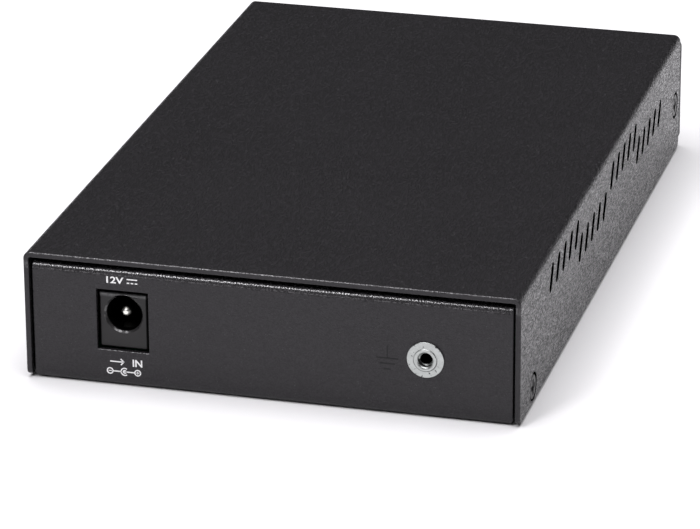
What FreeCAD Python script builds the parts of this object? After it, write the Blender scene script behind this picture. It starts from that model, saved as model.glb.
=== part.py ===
import FreeCAD
import Part

import math
import os

# Fibre media converter: a small two-part steel case with a power inlet and a ground terminal at the rear,
# and a copper port, a duplex fibre port and status lamps at the front.
#
# Millimetres. X to the right seen from the front, Y from the front to the rear, Z up.
# The origin is on the surface that the case stands on, below the middle of the whole object.

V = FreeCAD.Vector

# ---- case ---------------------------------------------------------------------------------------------
WIDTH = 88.0                # over the cover's sides
HEIGHT = 23.6               # from the floor's underside to the cover's top
COVER_DEPTH = 139.5         # front edge to rear edge of the cover
SHEET = 1.0                 # thickness of the cover's sheet
COVER_BEND = 1.3            # outer radius of the cover's two folds
COVER_LIFT = 0.5            # lower edge of the cover's sides above the floor's underside
COVER_CORNER = 1.2          # rounding of the sides' lower corners
TRAY_SHEET = 1.0            # thickness of the tray's sheet
TRAY_BEND = 1.3             # outer radius of the tray's folds
SHEET_FIT = 0.1             # air between sheets and mouldings that lie side by side
REAR_INSET = 0.5            # rear panel's face in from the cover's rear edge
REAR_SIDE_GAP = 0.35        # open gap between the rear panel and the cover's sides
REAR_TOP_GAP = 0.8          # open gap between the rear panel's flange and the cover's top
REAR_FLANGE = 6.0           # reach of the flange along the rear panel's top
SIDE_FLANGE = 7.5           # height of the tray's side flanges
FLANGE_END_GAP = 3.0        # side flanges stop this far short of the rear panel's face
REAR_CORNER = 1.5           # rounding of the rear panel's lower corners

# ---- slanted vents in the cover's sides ---------------------------------------------------------------
VENT_WIDTH = 1.3
VENT_LENGTH = 4.75          # end to end
VENT_TILT = 26.0            # degrees from upright, top end towards the front
VENT_PITCH = 5.12
VENT_COUNT = 5              # vents in each run
VENT_RUNS = 4               # runs per side, high and low in turn
VENT_HIGH_DROP = 5.35       # middle of a high run below the cover's top
VENT_LOW_DROP = 9.05        # and that of a low run
VENT_STEP_DOWN = 3.48       # from a high run's last vent to the next low run's first
VENT_STEP_UP = 6.35         # from a low run's last vent to the next high run's first
VENT_SHIFT = -0.6           # middle of the pattern from the middle of the object

# ---- flat-head screws through the cover's sides -------------------------------------------------------
SIDE_SCREW_HEAD = 4.6       # diameter of the countersunk head
SIDE_SCREW_SHANK = 2.5
SIDE_SCREW_LENGTH = 5.0
SCREW_HOLE_PLAY = 0.1       # radial air round a screw's shank where it only passes through
THREAD_PLAY = 0.02          # radial air where a screw is threaded in
SIDE_SCREW_SUNK = 0.05      # head's face below the cover's face
REAR_SCREW_INSET = 10.0     # from the cover's rear edge
REAR_SCREW_Z = 3.45
FRONT_SCREW_INSET = 4.5     # from the cover's front edge
FRONT_SCREW_Z = 10.5
RECESS_SHARE = 0.62         # span of a cross recess, as a share of the head
RECESS_WEB_SHARE = 0.16     # half the thickness of its wings, as a share of the span
RECESS_FOOT_SHARE = 0.35    # span at the foot of the recess, as a share of that at its mouth
SIDE_RECESS_DEEP = 1.1
SCREW_COLLAR = 1.2          # height of the threaded collar drawn out of the tray's flange
SCREW_COLLAR_WALL = 0.9

# ---- moulded front bezel ------------------------------------------------------------------------------
BEZEL_PLATE = 1.8           # stands this far in front of the cover
BEZEL_BOTTOM = 1.3
BEZEL_TOP_DROP = 1.2        # bezel's top edge below the cover's top
BEZEL_CORNER = 1.6
BEZEL_RIM = 0.4             # chamfer round the front face
LIP_DEPTH = 2.0             # rim that reaches into the case behind the plate
LIP_WALL = 1.2
EAR_LENGTH = 9.0            # the two side ears that take the front screws
EAR_HEIGHT = 7.0
EAR_THICK = 3.4

# ---- circuit board ------------------------------------------------------------------------------------
BOARD_THICK = 1.6
PORT_TOP_GAP = 2.3          # free room between the copper port and the cover's top
BOARD_SIDE_GAP = 0.5        # from the board's edge to the ends of the side screws
BOARD_FRONT_GAP = 2.6       # from the bezel's plate to the board
BOARD_REAR_GAP = 1.5        # from the board to the rear panel's inner face
HOLE_SIDE_INSET = 3.2       # board screws, in from the board's sides,
HOLE_FRONT_INSET = 44.25    # its front edge
HOLE_REAR_INSET = 14.65     # and its rear edge
BOARD_SCREW = 3.0
STANDOFF_SIZE = 5.6         # across flats
BOARD_SCREW_HEAD = 5.5
BOARD_SCREW_HEAD_HIGH = 2.0
BOARD_SCREW_END_GAP = 0.9   # from a screw's end to the tray's floor

# ---- power inlet --------------------------------------------------------------------------------------
JACK_FROM_SIDE = 17.6       # inlet's middle in from the cover's right side
JACK_WIDTH = 8.7
JACK_HIGH = 10.05
JACK_BLOCK = 3.4            # depth of the square front block
JACK_DEPTH = 14.0
JACK_INSET = 1.3            # front face in from the cover's rear edge
JACK_BORE = 6.4
JACK_BORE_Z = 6.25          # centre of the bore above the board
JACK_BORE_DEPTH = 10.0
JACK_MOUTH_CHAMFER = 0.35
JACK_BARREL_CLEAR = 0.2     # the rounded rear part is this much slimmer at each side
JACK_BARREL_ROUND_SHARE = 0.95      # rounding of its top, as a share of half its width
JACK_PIN = 2.0
JACK_PIN_SHORT = 1.0        # pin's tip in from the jack's face
JACK_PIN_TAPER = 0.6        # length of the pin's tapered tip
JACK_PIN_ROOT = 2.6         # thicker root of the pin in the housing's rear wall
JACK_CUT_SIDE = 0.3         # rear panel's cut-out round the jack: each side,
JACK_CUT_TOP = 0.85         # above it,
JACK_CUT_BOTTOM = 0.3       # and below it
JACK_TAB = 0.3              # thickness of the solder tabs
JACK_TAB_WIDTH = 2.4
JACK_REAR_TAB_WIDTH = 4.0
JACK_TAB_ABOVE_PIN = 2.0    # rear tab's top above the pin's middle
JACK_SIDE_TAB_AT = 9.5      # side tab's middle behind the inlet's face
TAB_PLAY = 0.15             # air round a tab or pin where it passes the board
TAB_BELOW_BOARD = 1.4       # solder tabs and pins reach this far below the board
RIVET_HEAD = 3.6
RIVET_HEAD_HIGH = 0.4
SPRING_RISE = 0.55          # how far the sprung contact bows into the bore
SPRING_TIP_AT = 2.4         # its tip, its crest and its leg behind the inlet's face
SPRING_CREST_AT = 4.2
SPRING_LEG_AT = 7.2
SPRING_TIP_DROP = 0.9       # its tip and the top of its leg below the bore
SPRING_LEG_DROP = 0.7
SPRING_ROOM = (2.0, 11.0)   # its slot below the bore, from and to behind the face

# ---- ground terminal ----------------------------------------------------------------------------------
GROUND_FROM_SIDE = 16.6     # in from the cover's left side
GROUND_ABOVE_BOARD = 3.85
GROUND_FLANGE = 6.5
GROUND_FLANGE_THICK = 0.3
GROUND_COLLAR = 4.0
GROUND_COLLAR_HIGH = 0.5    # above the rear panel's face
GROUND_BARREL = 5.0
GROUND_BODY = 5.8
GROUND_BODY_DEEP = 2.8
GROUND_BORE = 2.5           # tapping size of an M3 thread
GROUND_BORE_CHAMFER = 0.25

# ---- copper port --------------------------------------------------------------------------------------
RJ_FROM_SIDE = 20.0         # copper port's middle in from the cover's left side
PORT_INSET = 0.2            # ports' faces in from the bezel's face
WINDOW_GAP = 0.2            # air round a port in the bezel's window
RJ_WIDTH = 16.0
RJ_HIGH = 13.4
RJ_DEPTH = 18.0
RJ_SHIELD = 0.25
RJ_SHIELD_FIT = 0.05
RJ_MOUTH = 11.9             # width of the plug's cavity
RJ_CAVITY_DEPTH = 13.5
RJ_LATCH_FLOOR = 1.2        # floor under the latch slot
RJ_LATCH_NARROW = (3.8, 1.2)    # width and height of the lower latch step
RJ_LATCH_WIDE = (6.6, 1.5)      # and of the upper one
RJ_CAVITY_HIGH = 6.8
RJ_PITCH = 1.016
RJ_CONTACTS = 8
RJ_CONTACT = 0.3            # thickness of a contact
RJ_CONTACT_WIDTH = 0.5
RJ_SLOT_PLAY = 0.06
RJ_SLOT_HIGH = 1.05         # comb slots above the cavity
RJ_CONTACT_NOSE = 1.3       # front bend of the contacts, in from the face
RJ_CONTACT_REACH = 8.0
RJ_CONTACT_DROP = 2.0
RJ_CONTACT_FOLD = 1.15      # upright run at the contacts' front bend
RJ_PEG = (1.6, 2.8)         # size in x and y of the pegs that snap into the board
RJ_PEG_SPREAD = 11.4
RJ_PEG_AT = 9.0             # pegs' middle behind the port's face

# ---- duplex fibre port --------------------------------------------------------------------------------
FIBRE_FROM_SIDE = 23.0      # fibre port's middle in from the cover's right side
FIBRE_WIDTH = 25.4
FIBRE_HIGH = 10.4
FIBRE_NOSE = 15.0           # depth of the nose with the two receptacles
FIBRE_DEPTH = 39.0
FIBRE_BODY_STEP = 0.6       # body behind the nose is this much slimmer at each side and on top
FIBRE_BODY_CHAMFER = 0.8
FIBRE_PITCH = 12.7
FIBRE_PORT_WIDTH = 9.2
FIBRE_PORT_HIGH = 7.6
FIBRE_PORT_FLOOR = 1.0
FIBRE_PORT_DEPTH = 12.6
FIBRE_KEY = (2.4, 0.9)      # width and height of the keyway on top
FIBRE_LEAD_IN = 0.35
LATCH_PLATE = 1.0
LATCH_FIT = 0.1
LATCH_ARM = 0.8
LATCH_ARM_HIGH = 3.4
LATCH_ARM_LONG = 7.0
LATCH_ARM_GAP = 0.3         # arms stand clear of the walls to spring
LATCH_BARB = 0.6
LATCH_BARB_LONG = 1.6
SLEEVE_TUBE = 4.6
SLEEVE_TUBE_LONG = 6.4
SLEEVE_OUT = 3.2
SLEEVE_BORE = 2.5
SLEEVE_LONG = 6.0
SLEEVE_FIT = 0.05
SLEEVE_SLIT = 0.4
FIBRE_PINS = 9
FIBRE_PIN_PITCH = 2.54
FIBRE_PIN = 0.5
FIBRE_PIN_INSET = 3.0       # pins' row in from the body's rear end

# ---- status lamps -------------------------------------------------------------------------------------
LAMP_COLUMNS = 2
LAMP_ROWS = 2
LAMP_PITCH_X = 4.2
LAMP_PITCH_Z = 5.2
LAMP_FIRST_Z = 3.2          # lower row above the board
LAMP = 3.0
LAMP_LONG = 5.6
LAMP_FIT = 0.1
LAMP_LEG = 0.5
LAMP_LEG_SPREAD = 1.9
LAMP_LEG_BACK = 1.3         # lower row's legs turn down this far behind the lamps
LAMP_LEG_STEP = 2.0         # and each higher row's this much further back

# ---- parts on the board -------------------------------------------------------------------------------
PARTS_GAP = 5.0             # open board between neighbouring parts
CHIP_SIZE = 14.0
CHIP_HIGH = 1.4
TRANSFORMER_SIZE = (15.2, 12.6, 5.6)
TRANSFORMER_CHAMFER = 0.7
INDUCTOR_SIZE = 10.0
INDUCTOR_BASE_HIGH = 1.2
INDUCTOR_HIGH = 4.0
INDUCTOR_CORE = 8.4
CAPACITORS = 2
CAPACITOR_SIZE = 6.3
CAPACITOR_HIGH = 11.0
CAPACITOR_PITCH = 9.0
CRYSTAL_SIZE = (10.8, 4.4, 3.4)
REGULATOR_SIZE = (6.6, 6.1, 2.3)
REGULATOR_TAB = (5.4, 1.2, 0.9)

# ---- places worked out from the sizes above -----------------------------------------------------------
DEPTH = COVER_DEPTH + BEZEL_PLATE
JACK_X = WIDTH / 2.0 - JACK_FROM_SIDE
GROUND_X = GROUND_FROM_SIDE - WIDTH / 2.0
RJ_X = RJ_FROM_SIDE - WIDTH / 2.0
FIBRE_X = WIDTH / 2.0 - FIBRE_FROM_SIDE
LAMP_X = (RJ_X + RJ_WIDTH / 2.0 + FIBRE_X - FIBRE_WIDTH / 2.0) / 2.0     # lamps midway between the ports
Y_FRONT = -DEPTH / 2.0                      # bezel's face
Y_CASE = Y_FRONT + BEZEL_PLATE              # cover's front edge and the bezel plate's back
Y_REAR = DEPTH / 2.0                        # cover's rear edge
X_WALL = WIDTH / 2.0 - SHEET                # cover's inner faces
Z_ROOF = HEIGHT - SHEET                     # underside of the cover's top
X_TRAY = X_WALL - SHEET_FIT                 # outer faces of the tray's flanges and the bezel's lip and ears
X_REAR = X_WALL - REAR_SIDE_GAP             # edges of the rear panel
Y_PANEL = Y_REAR - REAR_INSET               # rear panel's outer face
Y_PANEL_IN = Y_PANEL - TRAY_SHEET
Z_PANEL = Z_ROOF - REAR_TOP_GAP             # top of the rear panel's flange
Z_TOP = Z_ROOF - PORT_TOP_GAP - RJ_HIGH     # board's top, on which its parts stand
Z_BOARD = Z_TOP - BOARD_THICK               # board's underside
X_BOARD = WIDTH / 2.0 - SIDE_SCREW_SUNK - SIDE_SCREW_LENGTH - BOARD_SIDE_GAP
Y_BOARD_FRONT = Y_CASE + BOARD_FRONT_GAP
Y_BOARD_REAR = Y_PANEL_IN - BOARD_REAR_GAP
Y_PORT = Y_FRONT + PORT_INSET               # faces of the two ports
Y_JACK = Y_REAR - JACK_INSET                # power inlet's face
Z_JACK = Z_TOP + JACK_BORE_Z
GROUND_Z = Z_TOP + GROUND_ABOVE_BOARD
Z_PIN_END = Z_BOARD - TAB_BELOW_BOARD
SLOT_END_FLATS = 3                          # flats that round each end of a slot
OVER = 1.0                                  # cutting tools run past the faces they cut by this much


# ---- shapes -------------------------------------------------------------------------------------------
def point(axis, along, a, b):
    """The point at `along` on an axis, with the other two coordinates a and b in x, y, z order."""
    if axis == "x":
        return V(along, a, b)
    if axis == "y":
        return V(a, along, b)
    return V(a, b, along)


def outline(corners, axis="z", along=0.0):
    """Closed wire across an axis. A corner is (a, b) or, to round it, (a, b, radius)."""
    places = [point(axis, along, c[0], c[1]) for c in corners]
    radii = [c[2] if len(c) > 2 else 0.0 for c in corners]
    starts = []
    ends = []
    middles = []
    for i, here in enumerate(places):
        to_last = (places[i - 1] - here).normalize()
        to_next = (places[(i + 1) % len(places)] - here).normalize()
        if radii[i] <= 0.0:
            starts.append(here)
            ends.append(here)
            middles.append(None)
            continue
        half = to_last.getAngle(to_next) / 2.0
        inwards = (to_last + to_next).normalize()
        centre = here + inwards * (radii[i] / math.sin(half))
        starts.append(here + to_last * (radii[i] / math.tan(half)))
        ends.append(here + to_next * (radii[i] / math.tan(half)))
        middles.append(centre - inwards * radii[i])
    edges = []
    for i in range(len(places)):
        if middles[i] is not None:
            edges.append(Part.Arc(starts[i], middles[i], ends[i]).toShape())
        following = starts[(i + 1) % len(places)]
        if ends[i].distanceToPoint(following) > 1e-6:
            edges.append(Part.LineSegment(ends[i], following).toShape())
    return Part.Wire(edges)


def prism(corners, axis, start, end):
    """Solid with one section all along an axis, from start to end."""
    face = Part.Face(outline(corners, axis, start))
    return face.extrude(point(axis, end - start, 0.0, 0.0))


def rectangle(a0, a1, b0, b1, radius=0.0):
    return [(a0, b0, radius), (a1, b0, radius), (a1, b1, radius), (a0, b1, radius)]


def block(x0, x1, y0, y1, z0, z1):
    return prism(rectangle(x0, x1, y0, y1), "z", z0, z1)


def bar(axis, a, b, radius, start, end):
    """Round bar or drill along an axis."""
    direction = point(axis, math.copysign(1.0, end - start), 0.0, 0.0)
    return Part.makeCylinder(radius, abs(end - start), point(axis, start, a, b), direction)


def folded(path, thickness, bend, axis, start, end):
    """Sheet or strip folded across an axis. The path is the face that lies on the right hand side
    of its direction, and the metal lies on the left. Bend is the outer radius of each fold."""
    near = [path[0]]
    far = [offset_point(path, 0, thickness)]
    for i in range(1, len(path) - 1):
        inner = max(bend - thickness, 0.0)
        turns_left = turn(path[i - 1], path[i], path[i + 1]) > 0.0
        near.append((path[i][0], path[i][1], bend if turns_left else inner))
        a, b = offset_point(path, i, thickness)
        far.append((a, b, inner if turns_left else bend))
    near.append(path[-1])
    far.append(offset_point(path, len(path) - 1, thickness))
    return prism(near + far[::-1], axis, start, end)


def turn(before, here, after):
    """Above zero where a path turns left."""
    return (here[0] - before[0]) * (after[1] - here[1]) - (here[1] - before[1]) * (after[0] - here[0])


def left_of(start, end):
    """Unit vector to the left of a run."""
    run_a = end[0] - start[0]
    run_b = end[1] - start[1]
    length = math.hypot(run_a, run_b)
    return -run_b / length, run_a / length


def offset_point(path, i, distance):
    """A path's corner moved to its left, so that both runs beside it move by the distance."""
    last = left_of(path[i - 1], path[i]) if i > 0 else left_of(path[i], path[i + 1])
    following = left_of(path[i], path[i + 1]) if i < len(path) - 1 else last
    share = distance / (1.0 + last[0] * following[0] + last[1] * following[1])
    return path[i][0] + (last[0] + following[0]) * share, path[i][1] + (last[1] + following[1]) * share


def slot(axis, a, b, length, width, tilt, start, end):
    """Slot with rounded ends along an axis. Tilt is in degrees from the second coordinate's direction,
    and leans the upper end towards the first coordinate's low side."""
    lean = math.radians(tilt)
    radius = width / 2.0
    corners = []
    for side in (1, -1):
        for k in range(SLOT_END_FLATS + 1):
            round_end = math.pi * k / SLOT_END_FLATS
            across = side * radius * math.cos(round_end)
            along = side * (length / 2.0 - radius + radius * math.sin(round_end))
            corners.append((a + across * math.cos(lean) - along * math.sin(lean),
                            b + across * math.sin(lean) + along * math.cos(lean)))
    return prism(corners, axis, start, end)


def turned(profile, origin, direction):
    """Solid of revolution. The profile's points are (radius, distance along the direction)."""
    corners = [(p[0], p[1]) + tuple(p[2:]) for p in profile]
    face = Part.Face(outline(corners, "y"))
    solid = face.revolve(V(0, 0, 0), V(0, 0, 1), 360)
    solid.Placement = FreeCAD.Placement(origin, FreeCAD.Rotation(V(0, 0, 1), direction))
    return solid


def joined(shapes):
    return shapes[0].multiFuse(shapes[1:]).removeSplitter()


def mirrored(shape):
    """The same on the other side of the object's middle plane."""
    return shape.mirror(V(0, 0, 0), V(1, 0, 0))


def flat_edges(shape, axis, along, a_range, b_range):
    """A shape's edges that lie in one plane across an axis, inside a window."""
    found = []
    for edge in shape.Edges:
        low = edge.BoundBox
        if axis == "y":
            bounds = (low.YMin, low.YMax, low.XMin, low.XMax, low.ZMin, low.ZMax)
        else:
            bounds = (low.ZMin, low.ZMax, low.XMin, low.XMax, low.YMin, low.YMax)
        if abs(bounds[0] - along) > 1e-4 or abs(bounds[1] - along) > 1e-4:
            continue
        in_a = bounds[2] > a_range[0] and bounds[3] < a_range[1]
        in_b = bounds[4] > b_range[0] and bounds[5] < b_range[1]
        if in_a and in_b:
            found.append(edge)
    return found


# ---- screws -------------------------------------------------------------------------------------------
def cross_recess(size, depth):
    """Tapered cross of a screwdriver's bit, its mouth at height zero, pointing down."""
    arm = size / 2.0
    web = size * RECESS_WEB_SHARE
    foot = arm * RECESS_FOOT_SHARE
    rings = []
    for reach, z in ((arm, 0.0), (foot, -depth)):
        corners = [V(-reach, -web, z), V(reach, -web, z), V(reach, web, z), V(-reach, web, z)]
        rings.append(Part.makePolygon(corners + corners[:1]))
    wing = Part.makeLoft(rings, True, True)
    other = wing.copy()
    other.rotate(V(0, 0, 0), V(0, 0, 1), 90)
    return wing.fuse(other)


def flat_head_screw(place, outwards):
    """Countersunk cross-head screw whose face looks outwards at the place."""
    head = SIDE_SCREW_HEAD / 2.0
    shank = SIDE_SCREW_SHANK / 2.0
    body = turned([(0, 0), (head, 0), (shank, shank - head), (shank, -SIDE_SCREW_LENGTH),
                   (0, -SIDE_SCREW_LENGTH)],
                  V(0, 0, 0), V(0, 0, 1))
    body = body.cut(cross_recess(SIDE_SCREW_HEAD * RECESS_SHARE, SIDE_RECESS_DEEP))
    body.Placement = FreeCAD.Placement(place, FreeCAD.Rotation(V(0, 0, 1), outwards))
    return body


def side_screw_places():
    """Middle of each screw on the right side: (y, z)."""
    return [(Y_REAR - REAR_SCREW_INSET, REAR_SCREW_Z), (Y_CASE + FRONT_SCREW_INSET, FRONT_SCREW_Z)]


def side_screws():
    face = WIDTH / 2.0 - SIDE_SCREW_SUNK
    right = [flat_head_screw(V(face, y, z), V(1, 0, 0)) for y, z in side_screw_places()]
    return Part.makeCompound(right + [mirrored(s) for s in right])


# ---- case ---------------------------------------------------------------------------------------------
def vents():
    """Cutters for the vents in one side."""
    steps = []
    for run in range(VENT_RUNS):
        for i in range(VENT_COUNT):
            if run == 0 and i == 0:
                steps.append(0.0)
            elif i > 0:
                steps.append(VENT_PITCH)
            else:
                steps.append(VENT_STEP_DOWN if run % 2 else VENT_STEP_UP)
    y = VENT_SHIFT + sum(steps) / 2.0
    cutters = []
    for i, step in enumerate(steps):
        y -= step
        z = HEIGHT - (VENT_LOW_DROP if (i // VENT_COUNT) % 2 else VENT_HIGH_DROP)
        cutters.append(slot("x", y, z, VENT_LENGTH, VENT_WIDTH, VENT_TILT, X_WALL - OVER, WIDTH / 2.0 + OVER))
    return cutters


def countersink(y, z, bore, end):
    """Cutter for a flat-head screw in the right side: the head's seat, then a bore that ends at x = end."""
    mouth = SIDE_SCREW_HEAD / 2.0 + SIDE_SCREW_SUNK
    return turned([(0, OVER), (mouth + OVER, OVER), (bore, bore - mouth), (bore, end - WIDTH / 2.0),
                   (0, end - WIDTH / 2.0)],
                  V(WIDTH / 2.0, y, z), V(1, 0, 0))


def screw_hole(y, z):
    """Clearance hole through the cover."""
    return countersink(y, z, SIDE_SCREW_SHANK / 2.0 + SCREW_HOLE_PLAY, X_WALL - OVER)


def screw_thread(y, z, end):
    """Hole that a side screw is threaded into."""
    return countersink(y, z, SIDE_SCREW_SHANK / 2.0 + THREAD_PLAY, end)


def top_cover():
    half = WIDTH / 2.0
    path = [(half, COVER_LIFT), (half, HEIGHT), (-half, HEIGHT), (-half, COVER_LIFT)]
    shell = folded(path, SHEET, COVER_BEND, "y", Y_CASE, Y_REAR)
    # rounded lower corners of the two sides
    side_view = [(Y_CASE, COVER_LIFT, COVER_CORNER), (Y_REAR, COVER_LIFT, COVER_CORNER),
                 (Y_REAR, HEIGHT + OVER), (Y_CASE, HEIGHT + OVER)]
    shell = shell.common(prism(side_view, "x", -half - OVER, half + OVER))
    cutters = vents() + [screw_hole(y, z) for y, z in side_screw_places()]
    return shell.cut(cutters + [mirrored(c) for c in cutters])


def tray_screw_collar(y, z):
    """Collar drawn inwards out of the tray's right flange, and the cutter of its thread."""
    inner = X_TRAY - TRAY_SHEET - SCREW_COLLAR
    radius = SIDE_SCREW_SHANK / 2.0 + THREAD_PLAY + SCREW_COLLAR_WALL
    collar = bar("x", y, z, radius, inner, X_TRAY - TRAY_SHEET / 2.0)
    return collar, screw_thread(y, z, inner - OVER)


def board_hole_places():
    x_hole = X_BOARD - HOLE_SIDE_INSET
    rows = (Y_BOARD_FRONT + HOLE_FRONT_INSET, Y_BOARD_REAR - HOLE_REAR_INSET)
    return [(x, y) for x in (-x_hole, x_hole) for y in rows]


def base_tray():
    side_end = Y_PANEL - FLANGE_END_GAP
    # floor with its side flanges
    trough = folded([(-X_TRAY, SIDE_FLANGE), (-X_TRAY, 0.0), (X_TRAY, 0.0), (X_TRAY, SIDE_FLANGE)],
                    TRAY_SHEET, TRAY_BEND, "y", Y_CASE, side_end)
    # the front screws go into the bezel's ears, so the flanges stop behind them
    ear_room = prism(rectangle(Y_CASE - OVER, Y_CASE + EAR_LENGTH + SHEET_FIT, TRAY_BEND, SIDE_FLANGE + OVER),
                     "x", -X_TRAY - OVER, X_TRAY + OVER)
    trough = trough.cut(ear_room)
    # rear end of the floor, rear panel and its flange
    panel = folded([(side_end, 0.0), (Y_PANEL, 0.0), (Y_PANEL, Z_PANEL), (Y_PANEL - REAR_FLANGE, Z_PANEL)],
                   TRAY_SHEET, TRAY_BEND, "x", -X_REAR, X_REAR)
    rear_view = [(-X_REAR, 0.0, REAR_CORNER), (X_REAR, 0.0, REAR_CORNER),
                 (X_REAR, Z_PANEL), (-X_REAR, Z_PANEL)]
    panel = panel.common(prism(rear_view, "y", side_end, Y_REAR))
    y, z = side_screw_places()[0]
    collar, drill = tray_screw_collar(y, z)
    tray = joined([trough, panel, collar, mirrored(collar)])
    jack_half = JACK_WIDTH / 2.0 + JACK_CUT_SIDE
    jack_cut = block(JACK_X - jack_half, JACK_X + jack_half, Y_PANEL_IN - OVER, Y_PANEL + OVER,
                     Z_TOP - JACK_CUT_BOTTOM, Z_TOP + JACK_HIGH + JACK_CUT_TOP)
    ground_cut = bar("y", GROUND_X, GROUND_Z, GROUND_BARREL / 2.0, Y_PANEL_IN - OVER, Y_PANEL + OVER)
    return tray.cut([jack_cut, ground_cut, drill, mirrored(drill)])


def window(x, width, high):
    """Cutter for a port that stands on the board, through the bezel."""
    return prism(rectangle(x - width / 2.0 - WINDOW_GAP, x + width / 2.0 + WINDOW_GAP,
                           Z_TOP - WINDOW_GAP, Z_TOP + high + WINDOW_GAP),
                 "y", Y_FRONT - OVER, Y_CASE + LIP_DEPTH + OVER)


def lamp_places():
    """Middle of each status lamp: (x, z, row)."""
    left = LAMP_X - LAMP_PITCH_X * (LAMP_COLUMNS - 1) / 2.0
    return [(left + LAMP_PITCH_X * column, Z_TOP + LAMP_FIRST_Z + LAMP_PITCH_Z * row, row)
            for row in range(LAMP_ROWS) for column in range(LAMP_COLUMNS)]


def front_bezel():
    half = WIDTH / 2.0
    top = HEIGHT - BEZEL_TOP_DROP
    plate = prism(rectangle(-half, half, BEZEL_BOTTOM, top, BEZEL_CORNER), "y", Y_FRONT, Y_CASE)
    plate = plate.makeChamfer(BEZEL_RIM, plate_edges(plate))
    # lip just inside the cover and above the folds of the tray
    low = max(TRAY_BEND + SHEET_FIT, BEZEL_BOTTOM)
    high = min(Z_ROOF - SHEET_FIT, top)
    lip = block(-X_TRAY, X_TRAY, Y_CASE, Y_CASE + LIP_DEPTH, low, high)
    lip = lip.cut(block(-X_TRAY + LIP_WALL, X_TRAY - LIP_WALL, Y_CASE, Y_CASE + LIP_DEPTH + OVER,
                        low + LIP_WALL, high - LIP_WALL))
    # ears that take the front side screws
    y, z = side_screw_places()[1]
    ear = block(X_TRAY - EAR_THICK, X_TRAY, Y_CASE, Y_CASE + EAR_LENGTH,
                z - EAR_HEIGHT / 2.0, z + EAR_HEIGHT / 2.0)
    bezel = joined([plate, lip, ear, mirrored(ear)])
    drill = screw_thread(y, z, X_TRAY - EAR_THICK - OVER)
    cutters = [drill, mirrored(drill)]
    cutters += [window(RJ_X, RJ_WIDTH, RJ_HIGH), window(FIBRE_X, FIBRE_WIDTH, FIBRE_HIGH)]
    for x, z, row in lamp_places():
        cutters.append(bar("y", x, z, LAMP / 2.0 + LAMP_FIT, Y_FRONT - OVER, Y_CASE + OVER))
    return bezel.cut(cutters)


def plate_edges(plate):
    """The bezel plate's front rim."""
    box = plate.BoundBox
    return flat_edges(plate, "y", box.YMin, (box.XMin - OVER, box.XMax + OVER),
                      (box.ZMin - OVER, box.ZMax + OVER))


# ---- circuit board and what holds it ------------------------------------------------------------------
def tab_slot(x, y, size_x, size_y):
    """Cutter for a slot or hole in the board that a tab or pin passes through."""
    return prism(rectangle(x - size_x / 2.0 - TAB_PLAY, x + size_x / 2.0 + TAB_PLAY,
                           y - size_y / 2.0 - TAB_PLAY, y + size_y / 2.0 + TAB_PLAY),
                 "z", Z_BOARD - OVER, Z_TOP + OVER)


def circuit_board():
    board = block(-X_BOARD, X_BOARD, Y_BOARD_FRONT, Y_BOARD_REAR, Z_BOARD, Z_TOP)
    cutters = [bar("z", x, y, BOARD_SCREW / 2.0 + SCREW_HOLE_PLAY, Z_BOARD - OVER, Z_TOP + OVER)
               for x, y in board_hole_places()]
    cutters += [tab_slot(x, y, size_x, size_y) for x, y, size_x, size_y in jack_tab_places()]
    cutters += [tab_slot(x, y, FIBRE_PIN, FIBRE_PIN) for x, y in fibre_pin_places()]
    cutters += [tab_slot(x, y, LAMP_LEG, LAMP_LEG) for x, y in lamp_leg_places()]
    cutters += [tab_slot(x, y, RJ_PEG[0], RJ_PEG[1]) for x, y in rj_peg_places()]
    return board.cut(cutters)


def board_standoffs():
    """Six-sided threaded studs welded onto the floor."""
    studs = []
    corner = STANDOFF_SIZE / 2.0 / math.cos(math.radians(30))
    angles = [math.radians(60 * k) for k in range(6)]
    for x, y in board_hole_places():
        hexagon = [(x + corner * math.cos(a), y + corner * math.sin(a)) for a in angles]
        body = prism(hexagon, "z", TRAY_SHEET, Z_BOARD)
        drill = bar("z", x, y, BOARD_SCREW / 2.0 + THREAD_PLAY, TRAY_SHEET + SHEET_FIT, Z_BOARD + OVER)
        studs.append(body.cut(drill))
    return Part.makeCompound(studs)


def board_screws():
    screws = []
    head = BOARD_SCREW_HEAD / 2.0
    shank = BOARD_SCREW / 2.0
    end = TRAY_SHEET + BOARD_SCREW_END_GAP - Z_TOP
    for x, y in board_hole_places():
        profile = [(0, BOARD_SCREW_HEAD_HIGH), (head, BOARD_SCREW_HEAD_HIGH), (head, 0), (shank, 0),
                   (shank, end), (0, end)]
        screws.append(turned(profile, V(x, y, Z_TOP), V(0, 0, 1)))
    return Part.makeCompound(screws)


# ---- power inlet --------------------------------------------------------------------------------------
Y_JACK_BACK = Y_JACK - JACK_DEPTH
Y_SPRING = Y_JACK - SPRING_LEG_AT
X_JACK_SIDE = JACK_X + JACK_WIDTH / 2.0 - JACK_BARREL_CLEAR
Y_SIDE_TAB = Y_JACK - JACK_SIDE_TAB_AT


def jack_tab_places():
    """Slots in the board for the inlet's tabs: (x, y, size in x, size in y)."""
    return [(JACK_X, Y_JACK_BACK - JACK_TAB / 2.0, JACK_REAR_TAB_WIDTH, JACK_TAB),
            (JACK_X, Y_SPRING, JACK_TAB_WIDTH, JACK_TAB),
            (X_JACK_SIDE + JACK_TAB / 2.0, Y_SIDE_TAB, JACK_TAB, JACK_TAB_WIDTH)]


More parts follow.
